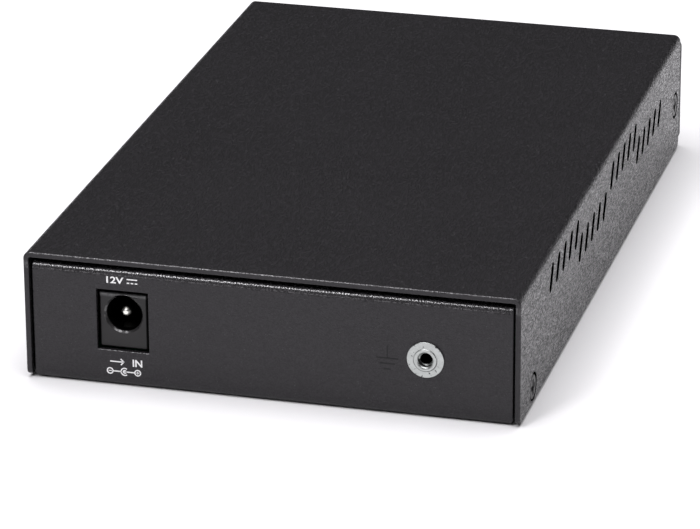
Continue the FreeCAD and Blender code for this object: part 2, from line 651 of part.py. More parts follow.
def dc_jack_housing():
    half = JACK_WIDTH / 2.0
    front = block(JACK_X - half, JACK_X + half, Y_JACK - JACK_BLOCK, Y_JACK, Z_TOP, Z_TOP + JACK_HIGH)
    slim = half - JACK_BARREL_CLEAR
    crown = Z_TOP + JACK_HIGH - JACK_BARREL_CLEAR
    rounding = slim * JACK_BARREL_ROUND_SHARE
    barrel = prism([(JACK_X - slim, Z_TOP), (JACK_X + slim, Z_TOP),
                    (JACK_X + slim, crown, rounding), (JACK_X - slim, crown, rounding)],
                   "y", Y_JACK_BACK, Y_JACK - JACK_BLOCK)
    body = joined([front, barrel])
    hole = JACK_BORE / 2.0
    bore = turned([(0, OVER), (hole + JACK_MOUTH_CHAMFER + OVER, OVER), (hole, -JACK_MOUTH_CHAMFER),
                   (hole, -JACK_BORE_DEPTH), (0, -JACK_BORE_DEPTH)],
                  V(JACK_X, Y_JACK, Z_JACK), V(0, 1, 0))
    pin_hole = bar("y", JACK_X, Z_JACK, JACK_PIN_ROOT / 2.0, Y_JACK_BACK - OVER, Y_JACK)
    half_slot = JACK_TAB_WIDTH / 2.0 + TAB_PLAY
    spring_room = block(JACK_X - half_slot, JACK_X + half_slot,
                        Y_JACK - SPRING_ROOM[1], Y_JACK - SPRING_ROOM[0],
                        Z_TOP - OVER, Z_JACK - JACK_BORE / 4.0)
    return body.cut([bore, pin_hole, spring_room])


def dc_jack_pin():
    radius = JACK_PIN / 2.0
    root = JACK_PIN_ROOT / 2.0
    length = JACK_DEPTH - JACK_PIN_SHORT
    wall = JACK_DEPTH - JACK_BORE_DEPTH
    back = -JACK_TAB
    tip = max(radius - JACK_PIN_TAPER, radius / 4.0)
    rivet = RIVET_HEAD / 2.0
    end = back - RIVET_HEAD_HIGH
    return turned([(0, length), (tip, length), (radius, length - JACK_PIN_TAPER), (radius, wall),
                   (root, wall), (root, back), (rivet, back), (rivet, end), (0, end)],
                  V(JACK_X, Y_JACK_BACK, Z_JACK), V(0, 1, 0))


def dc_jack_rear_tab():
    """Solder tab riveted to the pin, on the inlet's rear face."""
    half = JACK_REAR_TAB_WIDTH / 2.0
    back = Y_JACK_BACK - JACK_TAB
    plate = block(JACK_X - half, JACK_X + half, back, Y_JACK_BACK, Z_PIN_END, Z_JACK + JACK_TAB_ABOVE_PIN)
    return plate.cut(bar("y", JACK_X, Z_JACK, JACK_PIN_ROOT / 2.0, back - OVER, Y_JACK_BACK + OVER))


def dc_jack_spring():
    """Bowed leaf that touches the plug's barrel, with its leg through the board."""
    low = Z_JACK - JACK_BORE / 2.0
    leg = Y_SPRING - JACK_TAB / 2.0
    crest = (Y_JACK - SPRING_CREST_AT, low + SPRING_RISE - JACK_TAB)
    tip = (Y_JACK - SPRING_TIP_AT, low - SPRING_TIP_DROP)
    path = [(leg, Z_PIN_END), (leg, low - SPRING_LEG_DROP), crest, tip]
    half = JACK_TAB_WIDTH / 2.0
    return folded(path[::-1], JACK_TAB, JACK_TAB * 2.0, "x", JACK_X - half, JACK_X + half)


def dc_jack_side_tab():
    half = JACK_TAB_WIDTH / 2.0
    return block(X_JACK_SIDE, X_JACK_SIDE + JACK_TAB, Y_SIDE_TAB - half, Y_SIDE_TAB + half,
                 Z_PIN_END, Z_JACK - JACK_BORE / 4.0)


# ---- ground terminal ----------------------------------------------------------------------------------
def ground_terminal():
    """Threaded bush riveted through the rear panel."""
    flange = GROUND_FLANGE / 2.0
    collar = GROUND_COLLAR / 2.0
    barrel = GROUND_BARREL / 2.0
    body = GROUND_BODY / 2.0
    bore = GROUND_BORE / 2.0
    mouth = GROUND_COLLAR_HIGH
    end = -TRAY_SHEET - GROUND_BODY_DEEP
    return turned([(bore, mouth - GROUND_BORE_CHAMFER), (bore + GROUND_BORE_CHAMFER, mouth),
                   (collar, mouth), (collar, GROUND_FLANGE_THICK), (flange, GROUND_FLANGE_THICK),
                   (flange, 0.0), (barrel, 0.0), (barrel, -TRAY_SHEET), (body, -TRAY_SHEET),
                   (body, end), (bore, end)],
                  V(GROUND_X, Y_PANEL, GROUND_Z), V(0, 1, 0))


# ---- copper port --------------------------------------------------------------------------------------
Z_RJ_CEILING = Z_TOP + RJ_LATCH_FLOOR + RJ_LATCH_NARROW[1] + RJ_LATCH_WIDE[1] + RJ_CAVITY_HIGH


def rj_port_section():
    """Stepped outline of the plug's cavity with its latch slot below, (x, z)."""
    narrow = RJ_LATCH_NARROW[0] / 2.0
    wide = RJ_LATCH_WIDE[0] / 2.0
    mouth = RJ_MOUTH / 2.0
    z0 = Z_TOP + RJ_LATCH_FLOOR
    z1 = z0 + RJ_LATCH_NARROW[1]
    z2 = z1 + RJ_LATCH_WIDE[1]
    right = [(narrow, z0), (narrow, z1), (wide, z1), (wide, z2), (mouth, z2), (mouth, Z_RJ_CEILING)]
    return [(RJ_X + x, z) for x, z in right] + [(RJ_X - x, z) for x, z in right[::-1]]


def rj_contact_places():
    first = RJ_X - RJ_PITCH * (RJ_CONTACTS - 1) / 2.0
    return [first + RJ_PITCH * i for i in range(RJ_CONTACTS)]


def rj_peg_places():
    return [(RJ_X + side * RJ_PEG_SPREAD / 2.0, Y_PORT + RJ_PEG_AT) for side in (-1, 1)]


def rj45_housing():
    wall = RJ_SHIELD + RJ_SHIELD_FIT
    half = RJ_WIDTH / 2.0 - wall
    front = Y_PORT + wall
    body = block(RJ_X - half, RJ_X + half, front, Y_PORT + RJ_DEPTH - wall, Z_TOP, Z_TOP + RJ_HIGH - wall)
    peg_x, peg_y = RJ_PEG
    pegs = [block(x - peg_x / 2.0, x + peg_x / 2.0, y - peg_y / 2.0, y + peg_y / 2.0, Z_PIN_END, Z_TOP + OVER)
            for x, y in rj_peg_places()]
    body = joined([body] + pegs)
    cutters = [prism(rj_port_section(), "y", Y_PORT - OVER, Y_PORT + RJ_CAVITY_DEPTH)]
    half_slot = RJ_CONTACT_WIDTH / 2.0 + RJ_SLOT_PLAY
    slot_front = front + RJ_CONTACT_NOSE - RJ_CONTACT
    for x in rj_contact_places():
        cutters.append(block(x - half_slot, x + half_slot, slot_front, Y_PORT + RJ_CAVITY_DEPTH - OVER,
                             Z_RJ_CEILING - OVER, Z_RJ_CEILING + RJ_SLOT_HIGH))
    return body.cut(cutters)


def rj45_contacts():
    """Eight sprung wires: along the comb slots, round the nose and back down into the cavity."""
    top = Z_RJ_CEILING + RJ_SLOT_HIGH
    nose = Y_PORT + RJ_SHIELD + RJ_SHIELD_FIT + RJ_CONTACT_NOSE
    path = [(Y_PORT + RJ_CAVITY_DEPTH - OVER, top), (nose, top), (nose, top - RJ_CONTACT_FOLD),
            (nose + RJ_CONTACT_REACH, Z_RJ_CEILING - RJ_CONTACT_DROP)]
    half = RJ_CONTACT_WIDTH / 2.0
    wires = [folded(path, RJ_CONTACT, 0.0, "x", x - half, x + half) for x in rj_contact_places()]
    return Part.makeCompound(wires)


def rj45_shield():
    """Tinned shell folded round the housing, with the port's window in its face."""
    half = RJ_WIDTH / 2.0
    roof = Z_TOP + RJ_HIGH
    bend = 2.0 * RJ_SHIELD
    outer = prism([(RJ_X - half, Z_TOP), (RJ_X + half, Z_TOP),
                   (RJ_X + half, roof, bend), (RJ_X - half, roof, bend)],
                  "y", Y_PORT, Y_PORT + RJ_DEPTH)
    inner = block(RJ_X - half + RJ_SHIELD, RJ_X + half - RJ_SHIELD,
                  Y_PORT + RJ_SHIELD, Y_PORT + RJ_DEPTH - RJ_SHIELD, Z_TOP - OVER, roof - RJ_SHIELD)
    face = prism(rj_port_section(), "y", Y_PORT - OVER, Y_PORT + 2.0 * RJ_SHIELD)
    return outer.cut([inner, face])


# ---- duplex fibre port --------------------------------------------------------------------------------
Z_FIBRE = Z_TOP + FIBRE_PORT_FLOOR + FIBRE_PORT_HIGH / 2.0      # middle of the two receptacles
Y_PORT_END = Y_PORT + FIBRE_PORT_DEPTH


def fibre_port_middles():
    return [FIBRE_X - FIBRE_PITCH / 2.0, FIBRE_X + FIBRE_PITCH / 2.0]


def fibre_pin_places():
    first = FIBRE_X - FIBRE_PIN_PITCH * (FIBRE_PINS - 1) / 2.0
    y = Y_PORT + FIBRE_DEPTH - FIBRE_PIN_INSET
    return [(first + FIBRE_PIN_PITCH * i, y) for i in range(FIBRE_PINS)]


def receptacle(x):
    """Cutter for one receptacle with its keyway, and the lead-in round its mouth."""
    half = FIBRE_PORT_WIDTH / 2.0
    key = FIBRE_KEY[0] / 2.0
    low = Z_TOP + FIBRE_PORT_FLOOR
    high = low + FIBRE_PORT_HIGH
    keyway = high + FIBRE_KEY[1]
    section = [(x - half, low), (x + half, low), (x + half, high), (x + key, high), (x + key, keyway),
               (x - key, keyway), (x - key, high), (x - half, high)]
    hole = prism(section, "y", Y_PORT - OVER, Y_PORT_END)
    grown = FIBRE_LEAD_IN
    mouth = outline(rectangle(x - half - grown, x + half + grown, low - grown, high + grown), "y", Y_PORT)
    throat = outline(rectangle(x - half, x + half, low, high), "y", Y_PORT + grown)
    return [hole, Part.makeLoft([mouth, throat], True, True)]


def fibre_housing():
    half = FIBRE_WIDTH / 2.0
    nose = block(FIBRE_X - half, FIBRE_X + half, Y_PORT, Y_PORT + FIBRE_NOSE, Z_TOP, Z_TOP + FIBRE_HIGH)
    slim = half - FIBRE_BODY_STEP
    roof = Z_TOP + FIBRE_HIGH - FIBRE_BODY_STEP
    edge = FIBRE_BODY_CHAMFER
    right = [(slim, Z_TOP), (slim, roof - edge), (slim - edge, roof)]
    section = [(FIBRE_X + x, z) for x, z in right] + [(FIBRE_X - x, z) for x, z in right[::-1]]
    body = prism(section, "y", Y_PORT + FIBRE_NOSE, Y_PORT + FIBRE_DEPTH)
    housing = joined([nose, body])
    cutters = []
    for x in fibre_port_middles():
        cutters += receptacle(x)
    return housing.cut(cutters)


def fibre_latch(x):
    """One receptacle's insert: back plate, the tube that guides the ferrule and two hooked arms."""
    half = FIBRE_PORT_WIDTH / 2.0 - LATCH_FIT
    high = FIBRE_PORT_HIGH / 2.0 - LATCH_FIT
    back = Y_PORT_END - LATCH_PLATE
    plate = block(x - half, x + half, back, Y_PORT_END, Z_FIBRE - high, Z_FIBRE + high)
    tube = bar("y", x, Z_FIBRE, SLEEVE_TUBE / 2.0, back - SLEEVE_TUBE_LONG, back)
    tip = back - LATCH_ARM_LONG
    outer = FIBRE_PORT_WIDTH / 2.0 - LATCH_ARM_GAP
    inner = outer - LATCH_ARM
    arm_profile = [(x + outer, back + LATCH_PLATE / 2.0), (x + inner, back + LATCH_PLATE / 2.0),
                   (x + inner, tip + LATCH_BARB_LONG), (x + inner - LATCH_BARB, tip + LATCH_BARB_LONG),
                   (x + inner, tip), (x + outer, tip)]
    arm = prism(arm_profile, "z", Z_FIBRE - LATCH_ARM_HIGH / 2.0, Z_FIBRE + LATCH_ARM_HIGH / 2.0)
    other = arm.mirror(V(x, 0, 0), V(1, 0, 0))
    insert = joined([plate, tube, arm, other])
    guide = bar("y", x, Z_FIBRE, SLEEVE_OUT / 2.0 + SLEEVE_FIT, back - SLEEVE_TUBE_LONG - OVER, back)
    return insert.cut(guide)


def fibre_latches():
    return Part.makeCompound([fibre_latch(x) for x in fibre_port_middles()])


def fibre_sleeves():
    """Slit ceramic sleeves inside the guide tubes."""
    sleeves = []
    back = Y_PORT_END - LATCH_PLATE
    for x in fibre_port_middles():
        ring = bar("y", x, Z_FIBRE, SLEEVE_OUT / 2.0, back - SLEEVE_LONG, back)
        bore = bar("y", x, Z_FIBRE, SLEEVE_BORE / 2.0, back - SLEEVE_LONG - OVER, back + OVER)
        slit = block(x - SLEEVE_SLIT / 2.0, x + SLEEVE_SLIT / 2.0, back - SLEEVE_LONG - OVER, back + OVER,
                     Z_FIBRE, Z_FIBRE + SLEEVE_OUT)
        sleeves.append(ring.cut([bore, slit]))
    return Part.makeCompound(sleeves)


def fibre_pins():
    half = FIBRE_PIN / 2.0
    return Part.makeCompound([block(x - half, x + half, y - half, y + half, Z_PIN_END, Z_TOP)
                              for x, y in fibre_pin_places()])


# ---- status lamps -------------------------------------------------------------------------------------
Y_LAMP_BACK = Y_FRONT + LAMP_LONG


def status_leds():
    lamps = [bar("y", x, z, LAMP / 2.0, Y_FRONT, Y_LAMP_BACK) for x, z, row in lamp_places()]
    return Part.makeCompound(lamps)


def lamp_leg_turn(row):
    """Where a row's legs turn down, behind the lamps."""
    return Y_LAMP_BACK + LAMP_LEG_BACK + LAMP_LEG_STEP * row


def lamp_leg_places():
    return [(x + side * LAMP_LEG_SPREAD / 2.0, lamp_leg_turn(row) + LAMP_LEG / 2.0)
            for x, z, row in lamp_places() for side in (-1, 1)]


def led_legs():
    legs = []
    half = LAMP_LEG / 2.0
    for x, z, row in lamp_places():
        path = [(Y_LAMP_BACK, z - half), (lamp_leg_turn(row), z - half), (lamp_leg_turn(row), Z_PIN_END)]
        for side in (-1, 1):
            middle = x + side * LAMP_LEG_SPREAD / 2.0
            legs.append(folded(path, LAMP_LEG, 0.0, "x", middle - half, middle + half))
    return Part.makeCompound(legs)


# ---- parts on the board -------------------------------------------------------------------------------
# the transformer stands behind the copper port, the chip between the ports, and the power parts
# in front of the inlet
TRANSFORMER_AT = (RJ_X, Y_PORT + RJ_DEPTH + PARTS_GAP + TRANSFORMER_SIZE[1] / 2.0)
CHIP_AT = (LAMP_X, TRANSFORMER_AT[1] + TRANSFORMER_SIZE[1] / 2.0 + PARTS_GAP + CHIP_SIZE / 2.0)
CRYSTAL_AT = (CHIP_AT[0] + CHIP_SIZE / 2.0 + PARTS_GAP + CRYSTAL_SIZE[0] / 2.0, CHIP_AT[1])
CAPACITOR_ROW = (JACK_X - JACK_WIDTH / 2.0 - PARTS_GAP - CAPACITOR_SIZE / 2.0,
                 Y_JACK_BACK - CAPACITOR_SIZE / 2.0)
REGULATOR_AT = (JACK_X, Y_JACK_BACK - 2.0 * PARTS_GAP - REGULATOR_SIZE[1] / 2.0)
INDUCTOR_AT = (CAPACITOR_ROW[0] - PARTS_GAP, CAPACITOR_ROW[1] - CAPACITOR_SIZE - INDUCTOR_SIZE / 2.0)


def block_at(at, size_x, size_y, high):
    """Block that stands on the board, with its middle at a place."""
    return block(at[0] - size_x / 2.0, at[0] + size_x / 2.0, at[1] - size_y / 2.0, at[1] + size_y / 2.0,
                 Z_TOP, Z_TOP + high)


def converter_chip():
    return block_at(CHIP_AT, CHIP_SIZE, CHIP_SIZE, CHIP_HIGH)


def network_transformer():
    body = block_at(TRANSFORMER_AT, *TRANSFORMER_SIZE)
    box = body.BoundBox
    rim = flat_edges(body, "z", box.ZMax, (box.XMin - OVER, box.XMax + OVER),
                     (box.YMin - OVER, box.YMax + OVER))
    return body.makeChamfer(TRANSFORMER_CHAMFER, rim)


def power_inductor():
    base = block_at(INDUCTOR_AT, INDUCTOR_SIZE, INDUCTOR_SIZE, INDUCTOR_BASE_HIGH)
    drum = bar("z", INDUCTOR_AT[0], INDUCTOR_AT[1], INDUCTOR_CORE / 2.0, Z_TOP, Z_TOP + INDUCTOR_HIGH)
    return joined([base, drum])


def filter_capacitors():
    """Row of upright cans beside the inlet."""
    x, y = CAPACITOR_ROW
    cans = [bar("z", x - CAPACITOR_PITCH * i, y, CAPACITOR_SIZE / 2.0, Z_TOP, Z_TOP + CAPACITOR_HIGH)
            for i in range(CAPACITORS)]
    return Part.makeCompound(cans)


def clock_crystal():
    """Round-ended metal can."""
    long, wide, high = CRYSTAL_SIZE
    return slot("z", CRYSTAL_AT[0], CRYSTAL_AT[1], long, wide, 90, Z_TOP, Z_TOP + high)


def voltage_regulator():
    size_x, size_y, high = REGULATOR_SIZE
    tab_x, tab_y, tab_z = REGULATOR_TAB
    body = block_at(REGULATOR_AT, size_x, size_y, high)
    tab = block_at((REGULATOR_AT[0], REGULATOR_AT[1] + (size_y + tab_y) / 2.0), tab_x, tab_y, tab_z)
    return joined([body, tab])


NODES = {
    "top_cover": top_cover,
    "base_tray": base_tray,
    "front_bezel": front_bezel,
    "side_screws": side_screws,
    "ground_terminal": ground_terminal,
    "circuit_board": circuit_board,
    "board_standoffs": board_standoffs,
    "board_screws": board_screws,
    "dc_jack_housing": dc_jack_housing,
    "dc_jack_pin": dc_jack_pin,
    "dc_jack_rear_tab": dc_jack_rear_tab,
    "dc_jack_spring": dc_jack_spring,
    "dc_jack_side_tab": dc_jack_side_tab,
    "rj45_housing": rj45_housing,
    "rj45_shield": rj45_shield,
    "rj45_contacts": rj45_contacts,
    "fibre_housing": fibre_housing,
    "fibre_latches": fibre_latches,
    "fibre_sleeves": fibre_sleeves,
    "fibre_pins": fibre_pins,
    "status_leds": status_leds,
    "led_legs": led_legs,
    "converter_chip": converter_chip,
    "network_transformer": network_transformer,
    "power_inductor": power_inductor,
    "filter_capacitors": filter_capacitors,
    "clock_crystal": clock_crystal,
    "voltage_regulator": voltage_regulator,
}

os.makedirs("parts", exist_ok=True)
for name, make in NODES.items():
    make().exportStep("parts/" + name + ".step")
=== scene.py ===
import math

import bmesh
import bpy
from mathutils import Matrix, Vector


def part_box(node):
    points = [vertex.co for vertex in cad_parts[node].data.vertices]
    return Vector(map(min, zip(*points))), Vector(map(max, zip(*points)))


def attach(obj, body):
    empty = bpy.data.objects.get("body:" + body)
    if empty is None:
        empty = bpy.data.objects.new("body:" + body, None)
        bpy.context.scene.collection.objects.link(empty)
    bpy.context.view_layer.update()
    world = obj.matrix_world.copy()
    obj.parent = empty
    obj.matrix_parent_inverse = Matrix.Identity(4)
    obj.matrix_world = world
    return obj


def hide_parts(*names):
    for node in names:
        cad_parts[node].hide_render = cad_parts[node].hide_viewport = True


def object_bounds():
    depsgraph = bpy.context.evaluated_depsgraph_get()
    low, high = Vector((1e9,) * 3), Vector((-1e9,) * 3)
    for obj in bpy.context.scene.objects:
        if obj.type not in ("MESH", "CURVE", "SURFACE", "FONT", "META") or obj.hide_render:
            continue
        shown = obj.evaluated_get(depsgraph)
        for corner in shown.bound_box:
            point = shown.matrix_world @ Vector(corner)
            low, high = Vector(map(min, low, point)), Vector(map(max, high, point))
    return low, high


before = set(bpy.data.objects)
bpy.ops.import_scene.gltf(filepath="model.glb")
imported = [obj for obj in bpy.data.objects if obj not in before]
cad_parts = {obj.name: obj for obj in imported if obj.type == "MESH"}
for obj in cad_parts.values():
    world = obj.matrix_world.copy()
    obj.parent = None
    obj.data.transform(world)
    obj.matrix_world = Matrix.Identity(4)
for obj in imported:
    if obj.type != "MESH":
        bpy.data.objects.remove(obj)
cad_low, cad_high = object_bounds()

bl_info = {
    "name": "Fibre media converter",
    "version": (1, 0, 0),
    "blender": (4, 5, 0),
    "location": "3D View > Sidebar > Converter",
    "description": "Paint, printed marks, fine metalwork and stage of a fibre media converter",
    "category": "Object",
}

MM = 0.001
BODY = "root"
LEFTWARD = Vector((-1, 0, 0))     # the way print on the rear panel reads
UP = Vector((0, 0, 1))
REARWARD = Vector((0, 1, 0))
WELD = 0.002 * MM                 # corners closer than this are one
FLAT_TURN = math.radians(0.5)     # faces that turn less than this are one flat face
SHARP_TURN = math.radians(30.0)   # edges that turn more than this are rounded off
FINE_EDGE = 0.05 * MM             # rounding of the smallest details
SCREW_HEAD = 2.3 * MM             # radius of the side screws' heads
RIM = 3.0 * MM                    # an opening lies farther than this from its piece's outline
RELIEF = 2.2 * MM                 # notched corners of the tray's foot and of the bezel
EDGES_MM = {                      # rounding of the smaller pieces' edges
    "front_bezel": 0.15, "board_screws": 0.12, "board_standoffs": 0.12,
    "dc_jack_pin": 0.12, "dc_jack_rear_tab": 0.05, "dc_jack_side_tab": 0.05, "dc_jack_spring": 0.05,
    "rj45_housing": 0.1, "rj45_shield": 0.08, "rj45_contacts": 0.07,
    "fibre_housing": 0.15, "fibre_latches": 0.08, "fibre_sleeves": 0.08, "fibre_pins": 0.06,
    "status_leds": 0.5, "led_legs": 0.06, "converter_chip": 0.15, "network_transformer": 0.15,
    "voltage_regulator": 0.15, "power_inductor": 0.3, "filter_capacitors": 0.4,
    "clock_crystal": 0.3,
}


# ---- places taken from the frame ----
def middle(node):
    """Middle of a node's box."""
    low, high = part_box(node)
    return (low + high) / 2.0


def head_places():
    """Middles of the side screws' heads as (y, z): the rear one low, the front one higher up."""
    low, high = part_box("side_screws")
    return (high.y - SCREW_HEAD, low.z + SCREW_HEAD), (low.y + SCREW_HEAD, high.z - SCREW_HEAD)


SIDE_X = cad_high.x
HEADS = head_places()
PANEL_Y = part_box("base_tray")[1].y
PANEL_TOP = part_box("base_tray")[1].z
TERMINAL = middle("ground_terminal")
TERMINAL_BORE = 1.25 * MM         # radius of its threaded bore
TERMINAL_MOUTH = 1.6 * MM         # radius within which its rim turns into the bore
TERMINAL_STEP = 2.06 * MM         # radius of the painted shade in the corner round its collar
INLET = middle("dc_jack_pin")
INLET_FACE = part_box("dc_jack_housing")[1].y
INLET_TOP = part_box("dc_jack_housing")[1].z
INLET_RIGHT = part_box("dc_jack_housing")[0].x
INLET_BORE = 3.2 * MM             # radius of the inlet's bore
INLET_CORNER = 0.3 * MM           # rounding of the inlet's face at its sides and foot
OPENING_FOOT = 6.6 * MM           # height of the lower edge of the inlet's opening

# ---- how far the finishes' masks reach ----
WALL_START = 0.022 * MM           # walls of the vents: from here below the side's face
SHEET_BACK = 1.05 * MM            # to here, the back of the sheet
VENT_BAND = 8.8 * MM              # half the height that vents and screws take up
BEND_REACH = 1.2 * MM             # the rear panel's top bend, forwards of its face
BEND_DROP = 1.1 * MM              # and down from its top
RIDGE_REACH = 0.34 * MM           # the cover's rear edge, forwards
RIDGE_DROP = 0.2 * MM             # and down
LIP = 0.07 * MM                   # half the height of the lip under the inlet
LIP_REACH = 4.6 * MM              # half its length
CALM_DROP = 1.5 * MM              # the rear panel is flat from here down
SEAT = 0.16 * MM                  # width of the painted shadow round a side screw's head
BROW_DROP = 0.35 * MM             # painted highlight along the top edge of the inlet's face, down from its top
BROW_REACH = 0.65 * MM            # and into it
BORE_DEPTH = 0.9 * MM             # the inlet's bore is painted black as shade from here down
DARK_STRIP = 0.32 * MM            # width of the painted shadow along the right of the inlet's face
NO_LIGHT = (0.001,) * 3 + (1.0,)  # black painted as shade on surfaces deep in openings
GLINT_IOR = 1.8                   # strength of the glints on bends, raised grains and worn rims
COAT_TINT = (0.985, 0.955, 1.0, 1.0)  # faintly violet shine of the powder coat
GRAIN_FORM = (1.0, 0.32, 1.15)    # grains drawn out from front to back

# ---- places of the print ----
# spans: middle and width, the reader's left being towards greater x
VOLTS_WORD = (INLET.x + 1.18 * MM, 3.1 * MM)
VOLTS_SIGN = (INLET.x - 1.9 * MM, 1.9 * MM)
INPUT_ARROW = (INLET.x + 1.2 * MM, 2.5 * MM)
INPUT_WORD = (INLET.x - 2.5 * MM, 1.75 * MM)
EARTH_DROP = 0.27 * MM            # the earth sign's middle below the terminal's
EARTH_STEM = (2.2 * MM, -0.1 * MM)  # top and foot of its stem
EARTH_BARS_MM = ((0.15, 3.9), (1.15, 2.7), (2.15, 1.2))  # drop and width of its bars


# ---- node trees ----
class Wire:
    """A node's output. Arithmetic on it adds Math nodes."""

    def __init__(self, tree, socket):
        self.tree = tree
        self.socket = socket

    def math(self, operation, *others):
        """One Math node with this output first."""
        terms = dict(enumerate((self, *others)))
        return self.tree.node("ShaderNodeMath", {"operation": operation}, terms)

    def __add__(self, other):
        return self.math("ADD", other)

    __radd__ = __add__

    def __mul__(self, other):
        return self.math("MULTIPLY", other)

    __rmul__ = __mul__

    def __sub__(self, other):
        return self.math("SUBTRACT", other)

    def __rsub__(self, other):
        return self.tree.node("ShaderNodeMath", {"operation": "SUBTRACT"}, {0: other, 1: self})

    def __abs__(self):
        return self.math("ABSOLUTE")

    def __or__(self, other):
        """The greater of two values: where either of two masks lies."""
        return self.math("MAXIMUM", other)


class Tree:
    """The node tree of one material."""

    def __init__(self, name):
        self.material = bpy.data.materials.new(name)
        self.material.use_nodes = True
        self.nodes = self.material.node_tree.nodes
        self.links = self.material.node_tree.links
        self.nodes.clear()
        self.place = self.node("ShaderNodeTexCoord", output="Object")

    def node(self, kind, settings=None, inputs=None, output=0):
        """A new node: its settings first, then the values or links of its sockets."""
        node = self.nodes.new(kind)
        for name, value in (settings or {}).items():
            setattr(node, name, value)
        for name, value in (inputs or {}).items():
            if isinstance(value, Wire):
                self.links.new(value.socket, node.inputs[name])
            else:
                node.inputs[name].default_value = value
        return Wire(self, node.outputs[output]) if node.outputs else None

    def noise(self, size, detail=2.0, distortion=0.0, place=None):
        """Soft noise whose lumps are about the size given, in metres."""
        inputs = {"Vector": place or self.place, "Scale": 1.0 / size, "Detail": detail,
                  "Distortion": distortion}
        return self.node("ShaderNodeTexNoise", None, inputs)

    def cells(self, size, randomness=1.0, feature="F1", place=None):
        """Distance inside cells about the size given, in metres."""
        inputs = {"Vector": place or self.place, "Scale": 1.0 / size, "Randomness": randomness}
        return self.node("ShaderNodeTexVoronoi", {"feature": feature}, inputs)

    def between(self, value, low, high, start=0.0, end=1.0):
        """A value brought from the range low to high into start to end, and held there."""
        inputs = {"Value": value, "From Min": low, "From Max": high, "To Min": start, "To Max": end}
        return self.node("ShaderNodeMapRange", {"clamp": True}, inputs)

    def above(self, value, edge, fade):
        """1 where a value is over an edge, from 0 a fade below it."""
        return self.between(value, edge - fade, edge)

    def below(self, value, edge, fade):
        """1 where a value is under an edge, from 0 a fade above it."""
        return self.between(value, edge + fade, edge)

    def blend(self, factor, first, second):
        """Mix of two colours."""
        settings = {"data_type": "RGBA"}
        inputs = {0: factor, 6: opaque(first), 7: opaque(second)}
        return self.node("ShaderNodeMix", settings, inputs, output=2)

    def moved(self, centre, stretch=(1.0, 1.0, 1.0)):
        """Places measured from a centre and stretched."""
        ends = {0: self.place, 1: tuple(centre)}
        shifted = self.node("ShaderNodeVectorMath", {"operation": "SUBTRACT"}, ends)
        return self.node("ShaderNodeMapping", None, {"Vector": shifted, "Scale": stretch})

    def apart(self, vector, axis):
        """One part of a vector."""
        return self.node("ShaderNodeSeparateXYZ", None, {"Vector": vector}, output=axis)

    def along(self, axis):
        """Place along one of the object's axes."""
        return self.apart(self.place, axis)

    def reach(self, vector, first, second):
        """Distance from an axis: the length of two parts of a vector."""
        one = self.apart(vector, first)
        other = self.apart(vector, second)
        return (one * one + other * other).math("SQRT")

    def bump(self, height, depth):
        """A normal tilted by a height that runs from 0 to 1 over the depth given."""
        inputs = {"Height": height, "Distance": depth, "Strength": 1.0}
        return self.node("ShaderNodeBump", None, inputs)

    def finish(self, painted_shade=None, **sockets):
        """The material with its surface made, sockets named with underscores for spaces.

        Where the painted shade mask is 1, the surface is painted black as shadow deep in an
        opening.
        """
        names = {name.replace("_", " "): value for name, value in sockets.items()}
        surface = self.node("ShaderNodeBsdfPrincipled", None, names, output="BSDF")
        if painted_shade is not None:
            black = self.node("ShaderNodeBsdfDiffuse", None, {"Color": NO_LIGHT})
            surface = self.node("ShaderNodeMixShader", None, {0: painted_shade, 1: surface, 2: black})
        self.node("ShaderNodeOutputMaterial", None, {"Surface": surface})
        return self.material


def opaque(colour):
    """A colour with its alpha, or a link as it is."""
    return colour if isinstance(colour, Wire) else (*tuple(colour)[:3], 1.0)


def scaled(colour, factor):
    """A colour made darker or lighter."""
    return tuple(part * factor for part in tuple(colour)[:3])


# ---- finishes ----
def head_reach(tree):
    """Distance, across the case's side, from the nearest side screw."""
    reaches = [tree.reach(tree.moved((0.0, y, z)), "Y", "Z") for y, z in HEADS]
    return reaches[0].math("MINIMUM", reaches[1])


def vent_walls(tree):
    """1 on the cut walls of the vents and of the screws' seats in the cover's sides."""
    wall = abs(tree.along("X"))
    height = abs(tree.along("Z") - (cad_low.z + cad_high.z) / 2.0)
    sheet = tree.below(wall, SIDE_X - WALL_START, 0.01 * MM)
    sheet = sheet * tree.above(wall, SIDE_X - SHEET_BACK, 0.05 * MM)
    inside = tree.below(abs(tree.along("Y")), cad_high.y - RIM - 0.2 * MM, 0.2 * MM)
    return sheet * inside * tree.below(height, VENT_BAND, 0.2 * MM)


def unlit_openings(tree):
    """1 where the coat is painted black as shade: on the walls of the openings in the sides and in
    the shadows round the screws' heads.
    """
    ring = tree.below(head_reach(tree), SCREW_HEAD + SEAT, 0.06 * MM)
    ring = ring * tree.above(abs(tree.along("X")), SIDE_X - 1.1 * MM, 0.1 * MM)
    return vent_walls(tree) | ring


def rear_bends(tree):
    """1 on the rear panel's top bend, its opening's lip and the cover's rear edge."""
    rear = tree.along("Y")
    height = tree.along("Z")
    bend = tree.above(rear, PANEL_Y - BEND_REACH, 0.2 * MM)
    bend = bend * tree.above(height, PANEL_TOP - BEND_DROP, 0.2 * MM)
    bend = bend * tree.below(height, PANEL_TOP + 0.1 * MM, 0.2 * MM)
    ridge = tree.above(rear, cad_high.y - RIDGE_REACH, 0.08 * MM)
    ridge = ridge * tree.above(height, cad_high.z - RIDGE_DROP, 0.06 * MM)
    lip = tree.below(abs(height - (OPENING_FOOT - LIP)), LIP, 0.02 * MM)
    beside = abs(tree.along("X") - INLET.x)
    lip = lip * tree.below(beside, LIP_REACH, 0.1 * MM)
    return bend | ridge | lip


